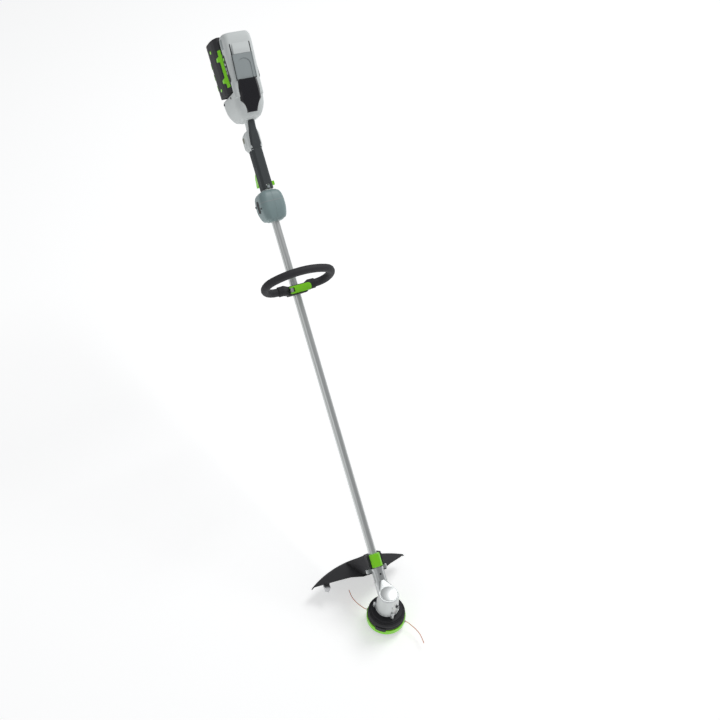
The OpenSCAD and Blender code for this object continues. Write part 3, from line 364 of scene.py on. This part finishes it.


# The third tone of each finish is its painted edge highlight, lighter than the base colour.
FINISHES = {
    "light_shell": Finish("light_shell", (0.44, 0.525, 0.515), (0.36, 0.44, 0.435),
                          (0.58, 0.66, 0.65), 0.42, rounding=1.6, mottle=0.35, grain=700.0),
    # Painted shade: the light grey shell's own plastic drawn darker for the motor bulb.
    "bulb_shell_painted_shade": Finish("bulb_shell_painted_shade", (0.27, 0.36, 0.365), (0.20, 0.28, 0.29),
                         (0.42, 0.51, 0.51), 0.42, rounding=1.6, mottle=0.35, grain=700.0),
    "mid_shell": Finish("mid_shell", (0.12, 0.175, 0.18), (0.09, 0.13, 0.14),
                        (0.26, 0.33, 0.34), 0.42, rounding=1.2, grain=700.0),
    "dark_plastic": Finish("dark_plastic", (0.005, 0.0065, 0.007), (0.010, 0.012, 0.013),
                           (0.085, 0.095, 0.10), 0.32, specular=0.26, rounding=1.2, grain=800.0,
                           edge_highlight=0.5),
    "gloss_black": Finish("gloss_black", (0.002, 0.0025, 0.003), (0.004, 0.005, 0.005),
                          (0.04, 0.045, 0.05), 0.10, coat=0.1, specular=0.22, rounding=2.2,
                          depth=0.00001, grain=300.0, scuff=0.25),
    "lime": Finish("lime", (0.105, 0.92, 0.002), (0.08, 0.74, 0.002), (0.40, 1.0, 0.08),
                   0.38, specular=0.12, rounding=1.0, grain=800.0),
    "rubber_grip": Finish("rubber_grip", (0.012, 0.018, 0.019), (0.022, 0.030, 0.031),
                          (0.07, 0.085, 0.09), 0.58, rounding=3.5, grain=420.0, depth=0.00025,
                          mottle=0.5, specular=0.24),
    "tube_metal": Finish("tube_metal", (0.62, 0.66, 0.655), (0.50, 0.54, 0.535),
                         (0.78, 0.81, 0.80), 0.40, Surface.METAL, metallic=0.45, rounding=0.5,
                         grain=420.0, depth=0.00003),
    "cast_metal": Finish("cast_metal", (0.30, 0.34, 0.335), (0.20, 0.235, 0.235),
                         (0.60, 0.65, 0.64), 0.50, metallic=0.30, rounding=2.6, grain=480.0,
                         depth=0.00022, mottle=0.5, edge_highlight=0.5),
    "steel": Finish("steel", (0.56, 0.57, 0.58), (0.40, 0.41, 0.42), (0.80, 0.80, 0.81), 0.30,
                    Surface.METAL, metallic=1.0, rounding=0.5, grain=600.0, depth=0.00003),
    "black_steel": Finish("black_steel", (0.03, 0.035, 0.04), (0.05, 0.055, 0.06),
                          (0.4, 0.4, 0.41), 0.38, Surface.METAL, metallic=0.8, rounding=0.4,
                          depth=0.00003),
    "copper": Finish("copper", (0.55, 0.22, 0.09), (0.35, 0.12, 0.05), (0.8, 0.45, 0.25), 0.35,
                     Surface.METAL, metallic=1.0, rounding=0.3),
    "board": Finish("board", (0.02, 0.12, 0.05), (0.015, 0.08, 0.035), (0.1, 0.3, 0.15), 0.4),
    "cell_wrap": Finish("cell_wrap", (0.08, 0.2, 0.3), (0.06, 0.15, 0.24), (0.3, 0.4, 0.5), 0.3),
    "line_nylon": Finish("line_nylon", (0.78, 0.10, 0.045), (0.62, 0.08, 0.035),
                         (0.95, 0.4, 0.3), 0.35, rounding=0.2, grain=500.0),
    "label": Finish("label", (0.16, 0.17, 0.10), (0.12, 0.13, 0.08), (0.4, 0.4, 0.32), 0.35,
                    rounding=0.3),
}


# ------------------------------------------------------------------ mesh bench

@dataclass(frozen=True)
class Station:
    """A rounded section of a lofted body, in millimetres."""

    z: float
    half_w: float
    low: float
    high: float
    corner: float

    def towards(self, other: "Station", before: "Station", after: "Station", t: float) -> "Station":
        """A section on the smooth curve between this one and the next.

        Args:
            other: The next section.
            before: The one before this.
            after: The one after the next.
            t: Share of the way, 0 to 1.

        Returns:
            The section in between.
        """
        def curve(a: float, b: float, c: float, d: float) -> float:
            """Catmull-Rom value at t."""
            return 0.5 * (2 * b + (c - a) * t + (2 * a - 5 * b + 4 * c - d) * t * t
                          + (3 * b - a - 3 * c + d) * t ** 3)
        names = ("z", "half_w", "low", "high", "corner")
        return Station(*(curve(*(getattr(s, n) for s in (before, self, other, after))) for n in names))

    def inset(self, by: float, dz: float) -> "Station":
        """The same section pulled in by a distance and moved along z."""
        return Station(self.z + dz, self.half_w - by, self.low + by, self.high - by,
                       max(self.corner - by, 0.6))


class Workpiece:
    """A bmesh on its way to becoming one finished piece."""

    RING = 48

    def __init__(self) -> None:
        """Start empty."""
        self.bm = bmesh.new()

    def box(self, low: tuple, high: tuple, bevel: float = 0.0, segments: int = 3,
            at: Matrix = Matrix()) -> "Workpiece":
        """Add a box between two corners, with its edges rounded.

        Args:
            low: Lowest corner.
            high: Highest corner.
            bevel: Radius of its edges.
            segments: Steps round each edge.
            at: Where the box stands.

        Returns:
            The workpiece.
        """
        lo, hi = Vector(low), Vector(high)
        size = Matrix.Diagonal((*(hi - lo), 1))
        made = bmesh.ops.create_cube(self.bm, size=1.0,
                                     matrix=at @ Matrix.Translation((lo + hi) / 2) @ size)
        if bevel:
            edges = list({e for v in made["verts"] for e in v.link_edges})
            bmesh.ops.bevel(self.bm, geom=edges, offset=bevel, offset_type="OFFSET",
                            affect="EDGES", segments=segments, profile=0.5, material=-1)
        return self

    def disc(self, radius: float, low: float, high: float, at: Matrix = Matrix(),
             rim: float = 0.0, top: float | None = None) -> "Workpiece":
        """Add a round pin or disc along z, with a rounded rim.

        Args:
            radius: Its radius at the low end.
            low: Lower end.
            high: Upper end.
            at: Where it stands.
            rim: Radius of its rims.
            top: Its radius at the high end, if it tapers.

        Returns:
            The workpiece.
        """
        place = at @ Matrix.Translation((0, 0, (low + high) / 2))
        made = bmesh.ops.create_cone(self.bm, cap_ends=True, segments=self.RING, radius1=radius,
                                     radius2=radius if top is None else top,
                                     depth=high - low, matrix=place)
        if rim:
            caps = {f for v in made["verts"] for f in v.link_faces if len(f.verts) > 4}
            edges = list({e for f in caps for e in f.edges})
            bmesh.ops.bevel(self.bm, geom=edges, offset=rim, offset_type="OFFSET",
                            affect="EDGES", segments=3, profile=0.5, material=-1)
        return self

    def torus(self, ring: float, wire: float, at: Matrix = Matrix(), flat: float = 1.0) -> "Workpiece":
        """Add a ring round z by spinning a small circle.

        Args:
            ring: Radius of the ring's centre line.
            wire: Radius of its section.
            at: Where it lies.
            flat: Share that its section is flattened to along z.

        Returns:
            The workpiece.
        """
        stand = Matrix.Translation((ring, 0, 0)) @ Matrix.Diagonal((1, 1, flat, 1)) \
            @ Matrix.Rotation(math.radians(90), 4, "X")
        made = bmesh.ops.create_circle(self.bm, segments=12, radius=wire, matrix=stand)
        edges = list({e for v in made["verts"] for e in v.link_edges})
        old = set(self.bm.verts) - set(made["verts"])
        bmesh.ops.spin(self.bm, geom=made["verts"] + edges, cent=(0, 0, 0), axis=(0, 0, 1),
                       angle=2 * math.pi, steps=self.RING, use_merge=True)
        new = [v for v in self.bm.verts if v not in old]
        bmesh.ops.transform(self.bm, matrix=at, verts=new)
        return self

    def ring_of(self, section: Station) -> list:
        """Add one rounded section as a ring of edges.

        Args:
            section: The section.

        Returns:
            The ring's edges.
        """
        made = bmesh.ops.create_circle(self.bm, cap_ends=False, segments=self.RING, radius=1.0)
        per = self.RING // 4
        r = min(section.corner, section.half_w - 0.1, (section.high - section.low) / 2 - 0.1)
        for k, v in enumerate(made["verts"]):
            quarter, step = divmod(k, per)
            a = math.radians(90 * quarter + 90 * step / (per - 1))
            right = 1 if quarter in (0, 3) else -1
            up = section.high - r if quarter in (0, 1) else section.low + r
            v.co = (right * (section.half_w - r) + r * math.cos(a), up + r * math.sin(a), section.z)
        return list({e for v in made["verts"] for e in v.link_edges})

    def loft(self, sections: list[Station], steps: int = 6, nose: float = 4.0) -> "Workpiece":
        """Add a smooth body through sections, with its ends rounded over.

        Args:
            sections: The sections from end to end.
            steps: Rings from each section to the next.
            nose: Radius of the ends' rims.

        Returns:
            The workpiece.
        """
        n, line = len(sections), []
        for i in range(n - 1):
            a, d = sections[max(i - 1, 0)], sections[min(i + 2, n - 1)]
            line += [sections[i].towards(sections[i + 1], a, d, s / steps) for s in range(steps)]
        line.append(sections[-1])
        cuts = [math.radians(x) for x in (90, 68, 45, 22)]
        front = [line[0].inset(nose * (1 - math.cos(a)), nose * (1 - math.sin(a))) for a in cuts]
        rear = [line[-1].inset(nose * (1 - math.cos(a)), -nose * (1 - math.sin(a))) for a in cuts]
        inner = [s for s in line if line[0].z + nose < s.z < line[-1].z - nose]
        rings = [self.ring_of(s) for s in front + inner + rear[::-1]]
        for a, b in zip(rings, rings[1:]):
            bmesh.ops.bridge_loops(self.bm, edges=a + b)
        for end in (rings[0], rings[-1]):
            bmesh.ops.contextual_create(self.bm, geom=end)
        return self

    def cut(self, point: tuple, normal: tuple) -> "Workpiece":
        """Cut away what lies beyond a plane and close the cut."""
        geom = list(self.bm.verts) + list(self.bm.edges) + list(self.bm.faces)
        bmesh.ops.bisect_plane(self.bm, geom=geom, plane_co=point, plane_no=normal,
                               clear_outer=True)
        bmesh.ops.holes_fill(self.bm, edges=[e for e in self.bm.edges if e.is_boundary])
        return self

    def finish(self, name: str, body: str, finish: str, at: Matrix = Matrix(),
               slot: str | None = None, crease: float = 32.0) -> bpy.types.Object:
        """Turn the work into a piece that rides on a body.

        Args:
            name: The piece's name.
            body: The CAD body that it moves with.
            finish: Key of its finish.
            at: From the work's own millimetres to metres in the row's frame.
            slot: The record's material slot, if it isn't the finish's name; not used.
            crease: Edges sharper than this stay sharp, in degrees.

        Returns:
            The finished object.
        """
        bmesh.ops.transform(self.bm, matrix=at, verts=self.bm.verts)
        bmesh.ops.remove_doubles(self.bm, verts=self.bm.verts, dist=1e-6)
        bmesh.ops.recalc_face_normals(self.bm, faces=self.bm.faces)
        for face in self.bm.faces:
            face.smooth = True
        for edge in self.bm.edges:
            if edge.is_manifold:
                edge.smooth = edge.calc_face_angle(0.0) < math.radians(crease)
        mesh = bpy.data.meshes.new(name)
        self.bm.to_mesh(mesh)
        self.bm.free()
        piece = bpy.data.objects.new(name, mesh)
        bpy.context.scene.collection.objects.link(piece)
        mesh.materials.append(FINISHES[finish].build())
        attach(piece, body)
        LOG.info("piece %s: %d faces on %s", name, len(mesh.polygons), body)
        return piece


def facing(point: tuple, normal: tuple) -> Matrix:
    """A placement at a point whose z points along a normal, on the shaft."""
    n = Vector(normal).normalized()
    return Matrix.Translation(point) @ n.to_track_quat("Z", "Y").to_matrix().to_4x4()


# ------------------------------------------------------------------ sub-assemblies

@dataclass
class Assembly:
    """A group of CAD nodes with the pieces added to them."""

    nodes: tuple[str, ...] = ()

    def build(self) -> None:
        """Add nothing beyond the CAD nodes."""

    def dress(self) -> None:
        """Give each CAD node the material that has its slot's name."""
        for name in self.nodes:
            node = frame["nodes"][name]
            material = FINISHES[SLOTS[name]].build()
            for i in range(len(node.data.materials)):
                node.data.materials[i] = material
            if not node.data.materials:
                node.data.materials.append(material)
        LOG.info("%s: %d nodes dressed", type(self).__name__, len(self.nodes))


@dataclass
class CuttingLines(Assembly):
    """The two free lengths of nylon line that leave the head's eyelets."""

    exit_r: float = 62.4
    exit_z: float = 29.0
    angle: float = 138.0
    diameter: float = 2.4
    bends: tuple = ((0, 0, 0), (7, 0, 0), (18, 4, 1), (36, 12, 2), (53, 23, 3), (65, 36, 4),
                    (74, 48, 5))
    steps: int = 4

    def route(self, angle: float) -> list[Vector]:
        """Points of one line's centre in metres, from its eyelet to its tip."""
        turn = Matrix.Rotation(math.radians(angle), 3, "Z")
        knots = [turn @ Vector((self.exit_r + out, -side, self.exit_z - down)) * MM
                 for out, side, down in self.bends]
        points = []
        for i in range(len(knots) - 1):
            a, b, c = knots[max(i - 1, 0)], knots[i], knots[i + 1]
            d = knots[min(i + 2, len(knots) - 1)]
            for s in range(self.steps):
                t = s / self.steps
                points.append(0.5 * (2 * b + (c - a) * t + (2 * a - 5 * b + 4 * c - d) * t * t
                                     + (3 * b - a - 3 * c + d) * t ** 3))
        return points + [knots[-1]]

    def build(self) -> None:
        for name, angle in (("line_left", self.angle), ("line_right", self.angle + 180)):
            points = self.route(angle)
            curve = bpy.data.curves.new(name + "_strand", "CURVE")
            curve.dimensions = "3D"
            curve.bevel_depth = self.diameter / 2 * MM
            curve.bevel_resolution = 4
            curve.use_fill_caps = True
            spline = curve.splines.new("POLY")
            spline.points.add(len(points) - 1)
            for knot, p in zip(spline.points, points):
                knot.co = (*p, 1)
            strand = bpy.data.objects.new(name + "_strand", curve)
            bpy.context.scene.collection.objects.link(strand)
            curve.materials.append(FINISHES["line_nylon"].build())
            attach(strand, "head")
            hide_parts(name)


@dataclass
class Head(Assembly):
    """The bump-feed head: knob, base ring, cover and what turns with them."""

    rib_count: int = 24

    def build(self) -> None:
        """Add grip ribs under the rim and two beads on the cover's shoulder."""
        ribs = Workpiece()
        for i in range(self.rib_count):
            turn = Matrix.Rotation(2 * math.pi * i / self.rib_count, 4, "Z")
            part = Workpiece()
            part.box((33, -0.9, 8.2), (47.5, 0.9, 9.4), 0.35, 2)
            bmesh.ops.transform(part.bm, matrix=turn, verts=part.bm.verts)
            mesh = bpy.data.meshes.new("rib")
            part.bm.to_mesh(mesh)
            ribs.bm.from_mesh(mesh)
            bpy.data.meshes.remove(mesh)
            part.bm.free()
        ribs.finish("rim_ribs", "head", "dark_plastic", Matrix.Scale(MM, 4))
        ledge = Workpiece()
        for radius, z in ((50.2, 65.2), (53.6, 61.4)):
            ledge.torus(radius, 0.8, Matrix.Translation((0, 0, z)))
        ledge.finish("cover_beads", "head", "dark_plastic", Matrix.Scale(MM, 4))


@dataclass
class Gearcase(Assembly):
    """The cast gearcase at the foot of the shaft."""

    def build(self) -> None:
        """Add the parting bead round the case and the ribs along its arm."""
        bead = Workpiece()
        bead.torus(35.2, 0.7, Matrix.Translation((0, 0, 82.5)))
        bead.finish("case_bead", "frame", "cast_metal", Matrix.Scale(MM, 4))
        cap = Workpiece().disc(24.6, 156.6, 157.7, rim=0.5)
        cap.torus(26.4, 0.5, Matrix.Translation((0, 0, 157.0)))
        cap.finish("case_cap", "frame", "cast_metal", Matrix.Scale(MM, 4))
        ribs = Workpiece()
        for x in (-1, 1):
            for y in (-6.5, 0.0, 6.5):
                reach = math.sqrt(max(18.0 ** 2 - y * y, 1.0))
                ribs.box((x * reach - 0.9, y - 0.8, 74), (x * reach + 0.9, y + 0.8, 106), 0.5, 2)
        ribs.finish("arm_ribs", "frame", "cast_metal", SHAFT.matrix())


@dataclass
class LoopHandle(Assembly):
    """The sliding loop handle with its clamp lever."""

    loop_at: float = 990.0
    lean: float = 20.0
    low: float = 18.0
    sleeve_r: float = 14.9

    def build(self) -> None:
        """Add rubber ribs on both lower arms."""
        plane = SHAFT.matrix() @ Matrix.Translation((0, 0, self.loop_at)) \
            @ Matrix.Rotation(math.radians(self.lean), 4, "X")
        along = Matrix.Rotation(math.radians(90), 4, "Y")
        ribs = Workpiece()
        for side in (-1, 1):
            for i in range(6):
                at = Matrix.Translation((side * (43.5 + 2.8 * i), self.low, 0)) @ along
                ribs.torus(self.sleeve_r - 0.2, 0.9, at)
        ribs.finish("sleeve_ribs", "loop", "dark_plastic", plane)


@dataclass
class MotorHousing(Assembly):
    """The light grey bulb round the motor, in two halves."""

    front: float = 1208.0
    seam: float = 0.12

    def sections(self, grow: float = 0.0) -> list[Station]:
        """The bulb's sections, grown outwards by a distance."""
        rows = ((0, 25, -15, 25, 15), (10, 34, -28, 32, 18), (36, 39.5, -38.5, 37.5, 21),
                (64, 39.5, -38.5, 37.5, 21), (82, 36, -36, 35, 20), (93.8, 27, -26, 29, 15))
        return [Station(self.front + z, w + grow, lo - grow, hi + grow, c + grow)
                for z, w, lo, hi, c in rows]

    def build(self) -> None:
        """Build both halves, the groove band and the vent bars, the last two as painted shade."""
        for side, name in ((1, "left"), (-1, "right")):
            half = Workpiece().loft(self.sections())
            half.cut((side * self.seam, 0, 0), (-side, 0, 0))
            # The bulb halves keep the light_shell slot but take the darker copy, as painted shade.
            piece = half.finish("bulb_" + name, "frame", "bulb_shell_painted_shade", REAR.matrix(), "light_shell")
            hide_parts("motor_shell_" + name)
        # Painted shade: a thin darker band laid just over the bulb where its groove runs, in place of
        # the groove's shade.
        band = Workpiece()
        grown = self.sections(0.25)
        around = [grown[2].towards(grown[3], grown[1], grown[4], t) for t in (0.78, 0.80, 0.84, 0.86)]
        rings = [band.ring_of(s) for s in around]
        for a, b in zip(rings, rings[1:]):
            bmesh.ops.bridge_loops(band.bm, edges=a + b)
        band.finish("bulb_groove_shade_band", "frame", "mid_shell", REAR.matrix())
        # Painted shade: dark bars laid on the bulb's sides in place of the shade inside the vent
        # slots.
        vent_shade = Workpiece()
        for side in (-1, 1):
            for i in range(5):
                x = side * 39.3
                z = self.front + 37 + 5 * i
                vent_shade.box((x - 0.6, -16, z - 0.9), (x + 0.6, 14, z + 0.9), 0.5, 2)
        vent_shade.finish("bulb_vent_shade_bars", "frame", "dark_plastic", REAR.matrix())


@dataclass
class RearHandle(Assembly):
    """The trigger handle with its rubber, knuckle and neck."""

    knuckle: float = 1434.0

    def build(self) -> None:
        """Build the knuckle's rounded cheeks, its plates and the grip's ribs."""
        rows = ((-8, 14.4, -8.8, 24.5, 8), (8, 22, -25, 27, 11), (44, 21, -24, 31, 11),
                (55.8, 16, -8, 34, 9))
        cheeks = Workpiece().loft([Station(self.knuckle + z, w, lo, hi, c)
                                   for z, w, lo, hi, c in rows], nose=3.0)
        cheeks.cut((0, 5.5, 0), (0, 1, 0))
        cheeks.finish("knuckle_cheeks", "frame", "light_shell", REAR.matrix())
        plates = Workpiece()
        for side in (-1, 1):
            x = side * 21.8
            plates.box((x - 0.5, -16, self.knuckle + 12), (x + 0.5, -2, self.knuckle + 42), 0.4, 2)
        plates.finish("knuckle_plates", "frame", "label", REAR.matrix(), slot="mid_shell")
        pads = Workpiece()
        for i in range(14):
            z = 1378 + 4 * i
            for side in (-1, 1):
                x = side * 17.3
                pads.box((x - 0.5, 1, z - 0.9), (x + 0.5, 17, z + 0.9), 0.45, 2)
        pads.finish("grip_ribs", "frame", "rubber_grip", REAR.matrix())


@dataclass
class RearHousing(Assembly):
    """The rear housing over the battery: nose, deck, cover, panel and paddle."""

    start: float = 1518.0
    bay: float = 1598.0
    rear: float = 1766.0
    side_w: float = 46.0
    bay_y: float = 74.0
    spine_w: float = 33.0
    spine_low: float = 12.0

    def nose_sections(self) -> list[Station]:
        """Sections of the rounded nose in front of the battery."""
        y = REAR.deck_y
        s = self.start
        rows = ((0, 22, -6, 50, 15), (6, 33, -16, 66, 20), (30, 44, -30, y(s + 30) - 4, 24),
                (56, 47, -36, y(s + 56), 24), (79.8, 47, -34, y(self.bay), 20))
        return [Station(s + z, w, lo, hi, c) for z, w, lo, hi, c in rows]

    def upper_sections(self) -> list[Station]:
        """Sections of the long deck above the battery."""
        y = REAR.deck_y
        w = self.side_w
        return [Station(self.bay - 20, w, self.bay_y, y(self.bay - 20), 15),
                Station(1660, w, self.bay_y, y(1660), 16),
                Station(1736, w - 0.3, self.bay_y, 126, 17),
                Station(1760, w - 3, self.bay_y, 124, 18),
                Station(1765.8, w - 11, self.bay_y + 5, 117, 17)]

    def build(self) -> None:
        """Build the housing's skins, spine and rails, then its trim."""
        nose = Workpiece().loft(self.nose_sections(), nose=4.0)
        piece = nose.finish("housing_nose", "frame", "light_shell", REAR.matrix())
        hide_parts("housing_left", "housing_right")
        Workpiece().loft(self.upper_sections(), nose=2.0).finish(
            "housing_deck", "frame", "light_shell", REAR.matrix())
        spine = Workpiece()
        spine.box((-self.spine_w, self.spine_low, self.bay - 2),
                  (self.spine_w, self.bay_y + 2, self.rear - 10), 2.5)
        for side in (-1, 1):
            a, b = sorted((side * (self.spine_w - 0.5), side * (self.spine_w + 3.2)))
            spine.box((a, 30, self.bay - 1), (b, 35, self.rear - 21), 0.6)
        spine.finish("bay_spine", "frame", "light_shell", REAR.matrix())
        self.build_trim()

    def build_trim(self) -> None:
        """Add the rear rise, the channel strips of painted shade, the side inserts and the badge's
        plain marks and rings.
        """
        rise = Workpiece().loft([Station(0, 27.5, -0.6, 7.2, 3.0), Station(14, 27.0, -0.6, 7.0, 3.0),
                                 Station(26, 25.5, -0.6, 2.6, 1.4), Station(32, 24.5, -0.6, 0.6, 0.5)],
                                nose=0.4)
        rise.finish("deck_rise", "frame", "light_shell",
                    REAR.deck() @ Matrix.Translation((0, 0, 74.6)))
        # Painted shade: gloss black strips along both sides of the raised panel, standing for the
        # shade on its side walls.
        channel = Workpiece()
        for side in (-1, 1):
            a, b = sorted((side * 29.4, side * 32.6))
            channel.box((a, -1.2, -1), (b, 0.9, 106), 0.8)
        channel.finish("deck_channel_shade_strips", "frame", "gloss_black", REAR.deck())
        insert = Workpiece()
        for side in (-1, 1):
            x = side * 45.6
            insert.box((x - 0.7, 94, 1722), (x + 0.7, 108, 1752), 0.5, 2)
        insert.finish("side_inserts", "frame", "mid_shell", REAR.matrix())
        marks = {"lime": (1697.0, 4.4), "light_shell": (1681.0, 4.0)}
        for finish, (z, radius) in marks.items():
            mark = Workpiece()
            for side in (-1, 1):
                mark.disc(radius, 0, 0.5, facing((side * 47.2, 88, z), (side, 0, 0)), 0.2)
            mark.finish("badge_mark_" + finish, "frame", finish, REAR.matrix())
        ring = Workpiece()
        for side in (-1, 1):
            for z in (1668, 1656):
                ring.torus(3.6, 0.9, facing((side * 47.3, 88, z), (side, 0, 0)))
        ring.finish("badge_rings", "frame", "light_shell", REAR.matrix())


@dataclass
class Battery(Assembly):
    """The battery pack astride the underside of the rear housing."""

    start: float = 1600.0
    length: float = 170.0

    def build(self) -> None:
        """Add the round side marks, edge fillets and the ribbed end."""
        dots = Workpiece()
        for side in (-1, 1):
            for z in (24, 142):
                dots.disc(5.0, 0, 0.7, facing((side * 56.9, 24, self.start + z), (side, 0, 0)), 0.3)
        dots.finish("battery_dots", "battery", "lime", REAR.matrix())
        edge = Workpiece()
        for side in (-1, 1):
            for z in (40, 74, 108):
                place = facing((side * 54.1, -8.4, self.start + z), (side, -0.19, 0))
                edge.box((-2.2, -9, -0.4), (2.2, 9, 0.4), 0.3, 2, place)
        edge.finish("battery_slivers", "battery", "lime", REAR.matrix())
        ribs = Workpiece()
        end = self.start + self.length
        rib_half_w, rib_w, rib_pitch, first_rib = 26, 2.4, 6, -18
        for i in range(7):
            y = first_rib + rib_pitch * i
            ribs.box((-rib_half_w, y, end - 0.6), (rib_half_w, y + rib_w, end + 0.8), 0.6, 2)
        ribs.finish("battery_end_ribs", "battery", "dark_plastic", REAR.matrix())


@dataclass(frozen=True)
class Lamp:
    """A square light panel aimed at the middle of the tool, in metres and watts."""

    name: str
    place: tuple[float, float, float]
    power: float
    size: float


@dataclass
class Studio:
    """Floor, soft light and camera."""

    azimuth: float = -26.79
    elevation: float = 48.50
    roll: float = 4.45
    place: tuple[float, float, float] = (-1.013, -1.695, 3.425)
    lens: float = 62.7
    aim: tuple[float, float, float] = (0, 0.7, 0.6)
    floor_size: float = 30.0
    floor_tone: float = 0.93
    floor_glow: float = 0.46
    sky: tuple[float, float, float] = (0.97, 0.985, 1.0)
    sky_strength: float = 0.30
    lamps: tuple[Lamp, ...] = (Lamp("key", (2.4, 1.4, 4.4), 92.0, 2.0),
                               Lamp("fill", (-3.6, -1.6, 3.2), 14.0, 2.0))

    def build_camera(self) -> None:
        """Make the camera and set it as the scene's."""
        az, el, r = (math.radians(x) for x in (self.azimuth, self.elevation, self.roll))
        back = Vector((math.sin(az) * math.cos(el), -math.cos(az) * math.cos(el), math.sin(el)))
        right = Vector((math.cos(az), math.sin(az), 0))
        up = back.cross(right)
        turned_right = right * math.cos(r) + up * math.sin(r)
        turned_up = up * math.cos(r) - right * math.sin(r)
        data = bpy.data.cameras.new("camera")
        data.lens = self.lens
        data.sensor_width = 36
        data.clip_end = 60
        camera = bpy.data.objects.new("camera", data)
        bpy.context.scene.collection.objects.link(camera)
        axes = Matrix((turned_right, turned_up, back)).transposed().to_4x4()
        camera.matrix_world = Matrix.Translation(self.place) @ axes
        bpy.context.scene.camera = camera

    def build_floor(self) -> None:
        """Lay a wide pale floor at the ground."""
        bm = bmesh.new()
        bmesh.ops.create_grid(bm, x_segments=1, y_segments=1, size=self.floor_size)
        mesh = bpy.data.meshes.new("floor")
        bm.to_mesh(mesh)
        bm.free()
        floor = bpy.data.objects.new("floor", mesh)
        bpy.context.scene.collection.objects.link(floor)
        material = bpy.data.materials.new("pale_floor")
        material.use_nodes = True
        shader = material.node_tree.nodes["Principled BSDF"]
        shader.inputs["Base Color"].default_value = (*[self.floor_tone] * 3, 1)
        shader.inputs["Roughness"].default_value = 0.9
        shader.inputs["Specular IOR Level"].default_value = 0.1
        shader.inputs["Emission Color"].default_value = (1, 1, 1, 1)
        shader.inputs["Emission Strength"].default_value = self.floor_glow
        mesh.materials.append(material)

    def build_light(self) -> None:
        """Surround the tool with soft light and add two broad panels."""
        bpy.context.scene.view_settings.view_transform = "Standard"
        world = bpy.data.worlds.new("studio")
        bpy.context.scene.world = world
        world.use_nodes = True
        sky = world.node_tree.nodes["Background"]
        sky.inputs["Color"].default_value = (*self.sky, 1)
        sky.inputs["Strength"].default_value = self.sky_strength
        for lamp in self.lamps:
            data = bpy.data.lights.new(lamp.name, "AREA")
            data.energy = lamp.power
            data.size = lamp.size
            panel = bpy.data.objects.new(lamp.name, data)
            bpy.context.scene.collection.objects.link(panel)
            aim = Vector(self.aim) - Vector(lamp.place)
            turn = aim.to_track_quat("-Z", "Y").to_matrix().to_4x4()
            panel.matrix_world = Matrix.Translation(lamp.place) @ turn


ASSEMBLIES = (
    CuttingLines(("line_left", "line_right", "line_eyelets")),
    Head(("bump_knob", "spool", "wound_line", "bump_spring", "base_rim", "head_base", "head_cover")),
    Gearcase(("spindle", "spindle_collar", "bevel_gear", "spindle_bearings", "bearing_cap",
              "cap_screws", "gearcase", "grease_plug", "lock_screw", "pinion", "pinion_bearings")),
    Assembly(("drive_shaft", "shaft_tube", "tube_bushes")),
    Assembly(("guard", "guard_cover", "guard_screws", "line_cutter")),
    LoopHandle(("loop_bracket", "loop_jaw", "loop_grip", "clamp_bolts", "quick_lever", "lever_pin")),
    MotorHousing(("motor_shell_left", "motor_shell_right", "motor_mount", "motor_stator",
                  "motor_rotor", "motor_shaft", "cooling_fan")),
    RearHandle(("handle_left", "handle_right", "handle_rubber", "trigger", "trigger_switch",
                "lockoff_button", "speed_switch")),
    RearHousing(("housing_left", "housing_right", "top_cover", "top_panel", "release_paddle",
                 "controller", "side_plates", "shell_screws")),
    Battery(("battery_case", "battery_frame", "battery_base", "battery_cells")),
)


def main() -> None:
    """Build the camera, then each assembly in order, then the floor and the light."""
    studio = Studio()
    studio.build_camera()
    for assembly in ASSEMBLIES:
        assembly.build()
        assembly.dress()
    studio.build_floor()
    studio.build_light()


if __name__ == "__main__":
    main()
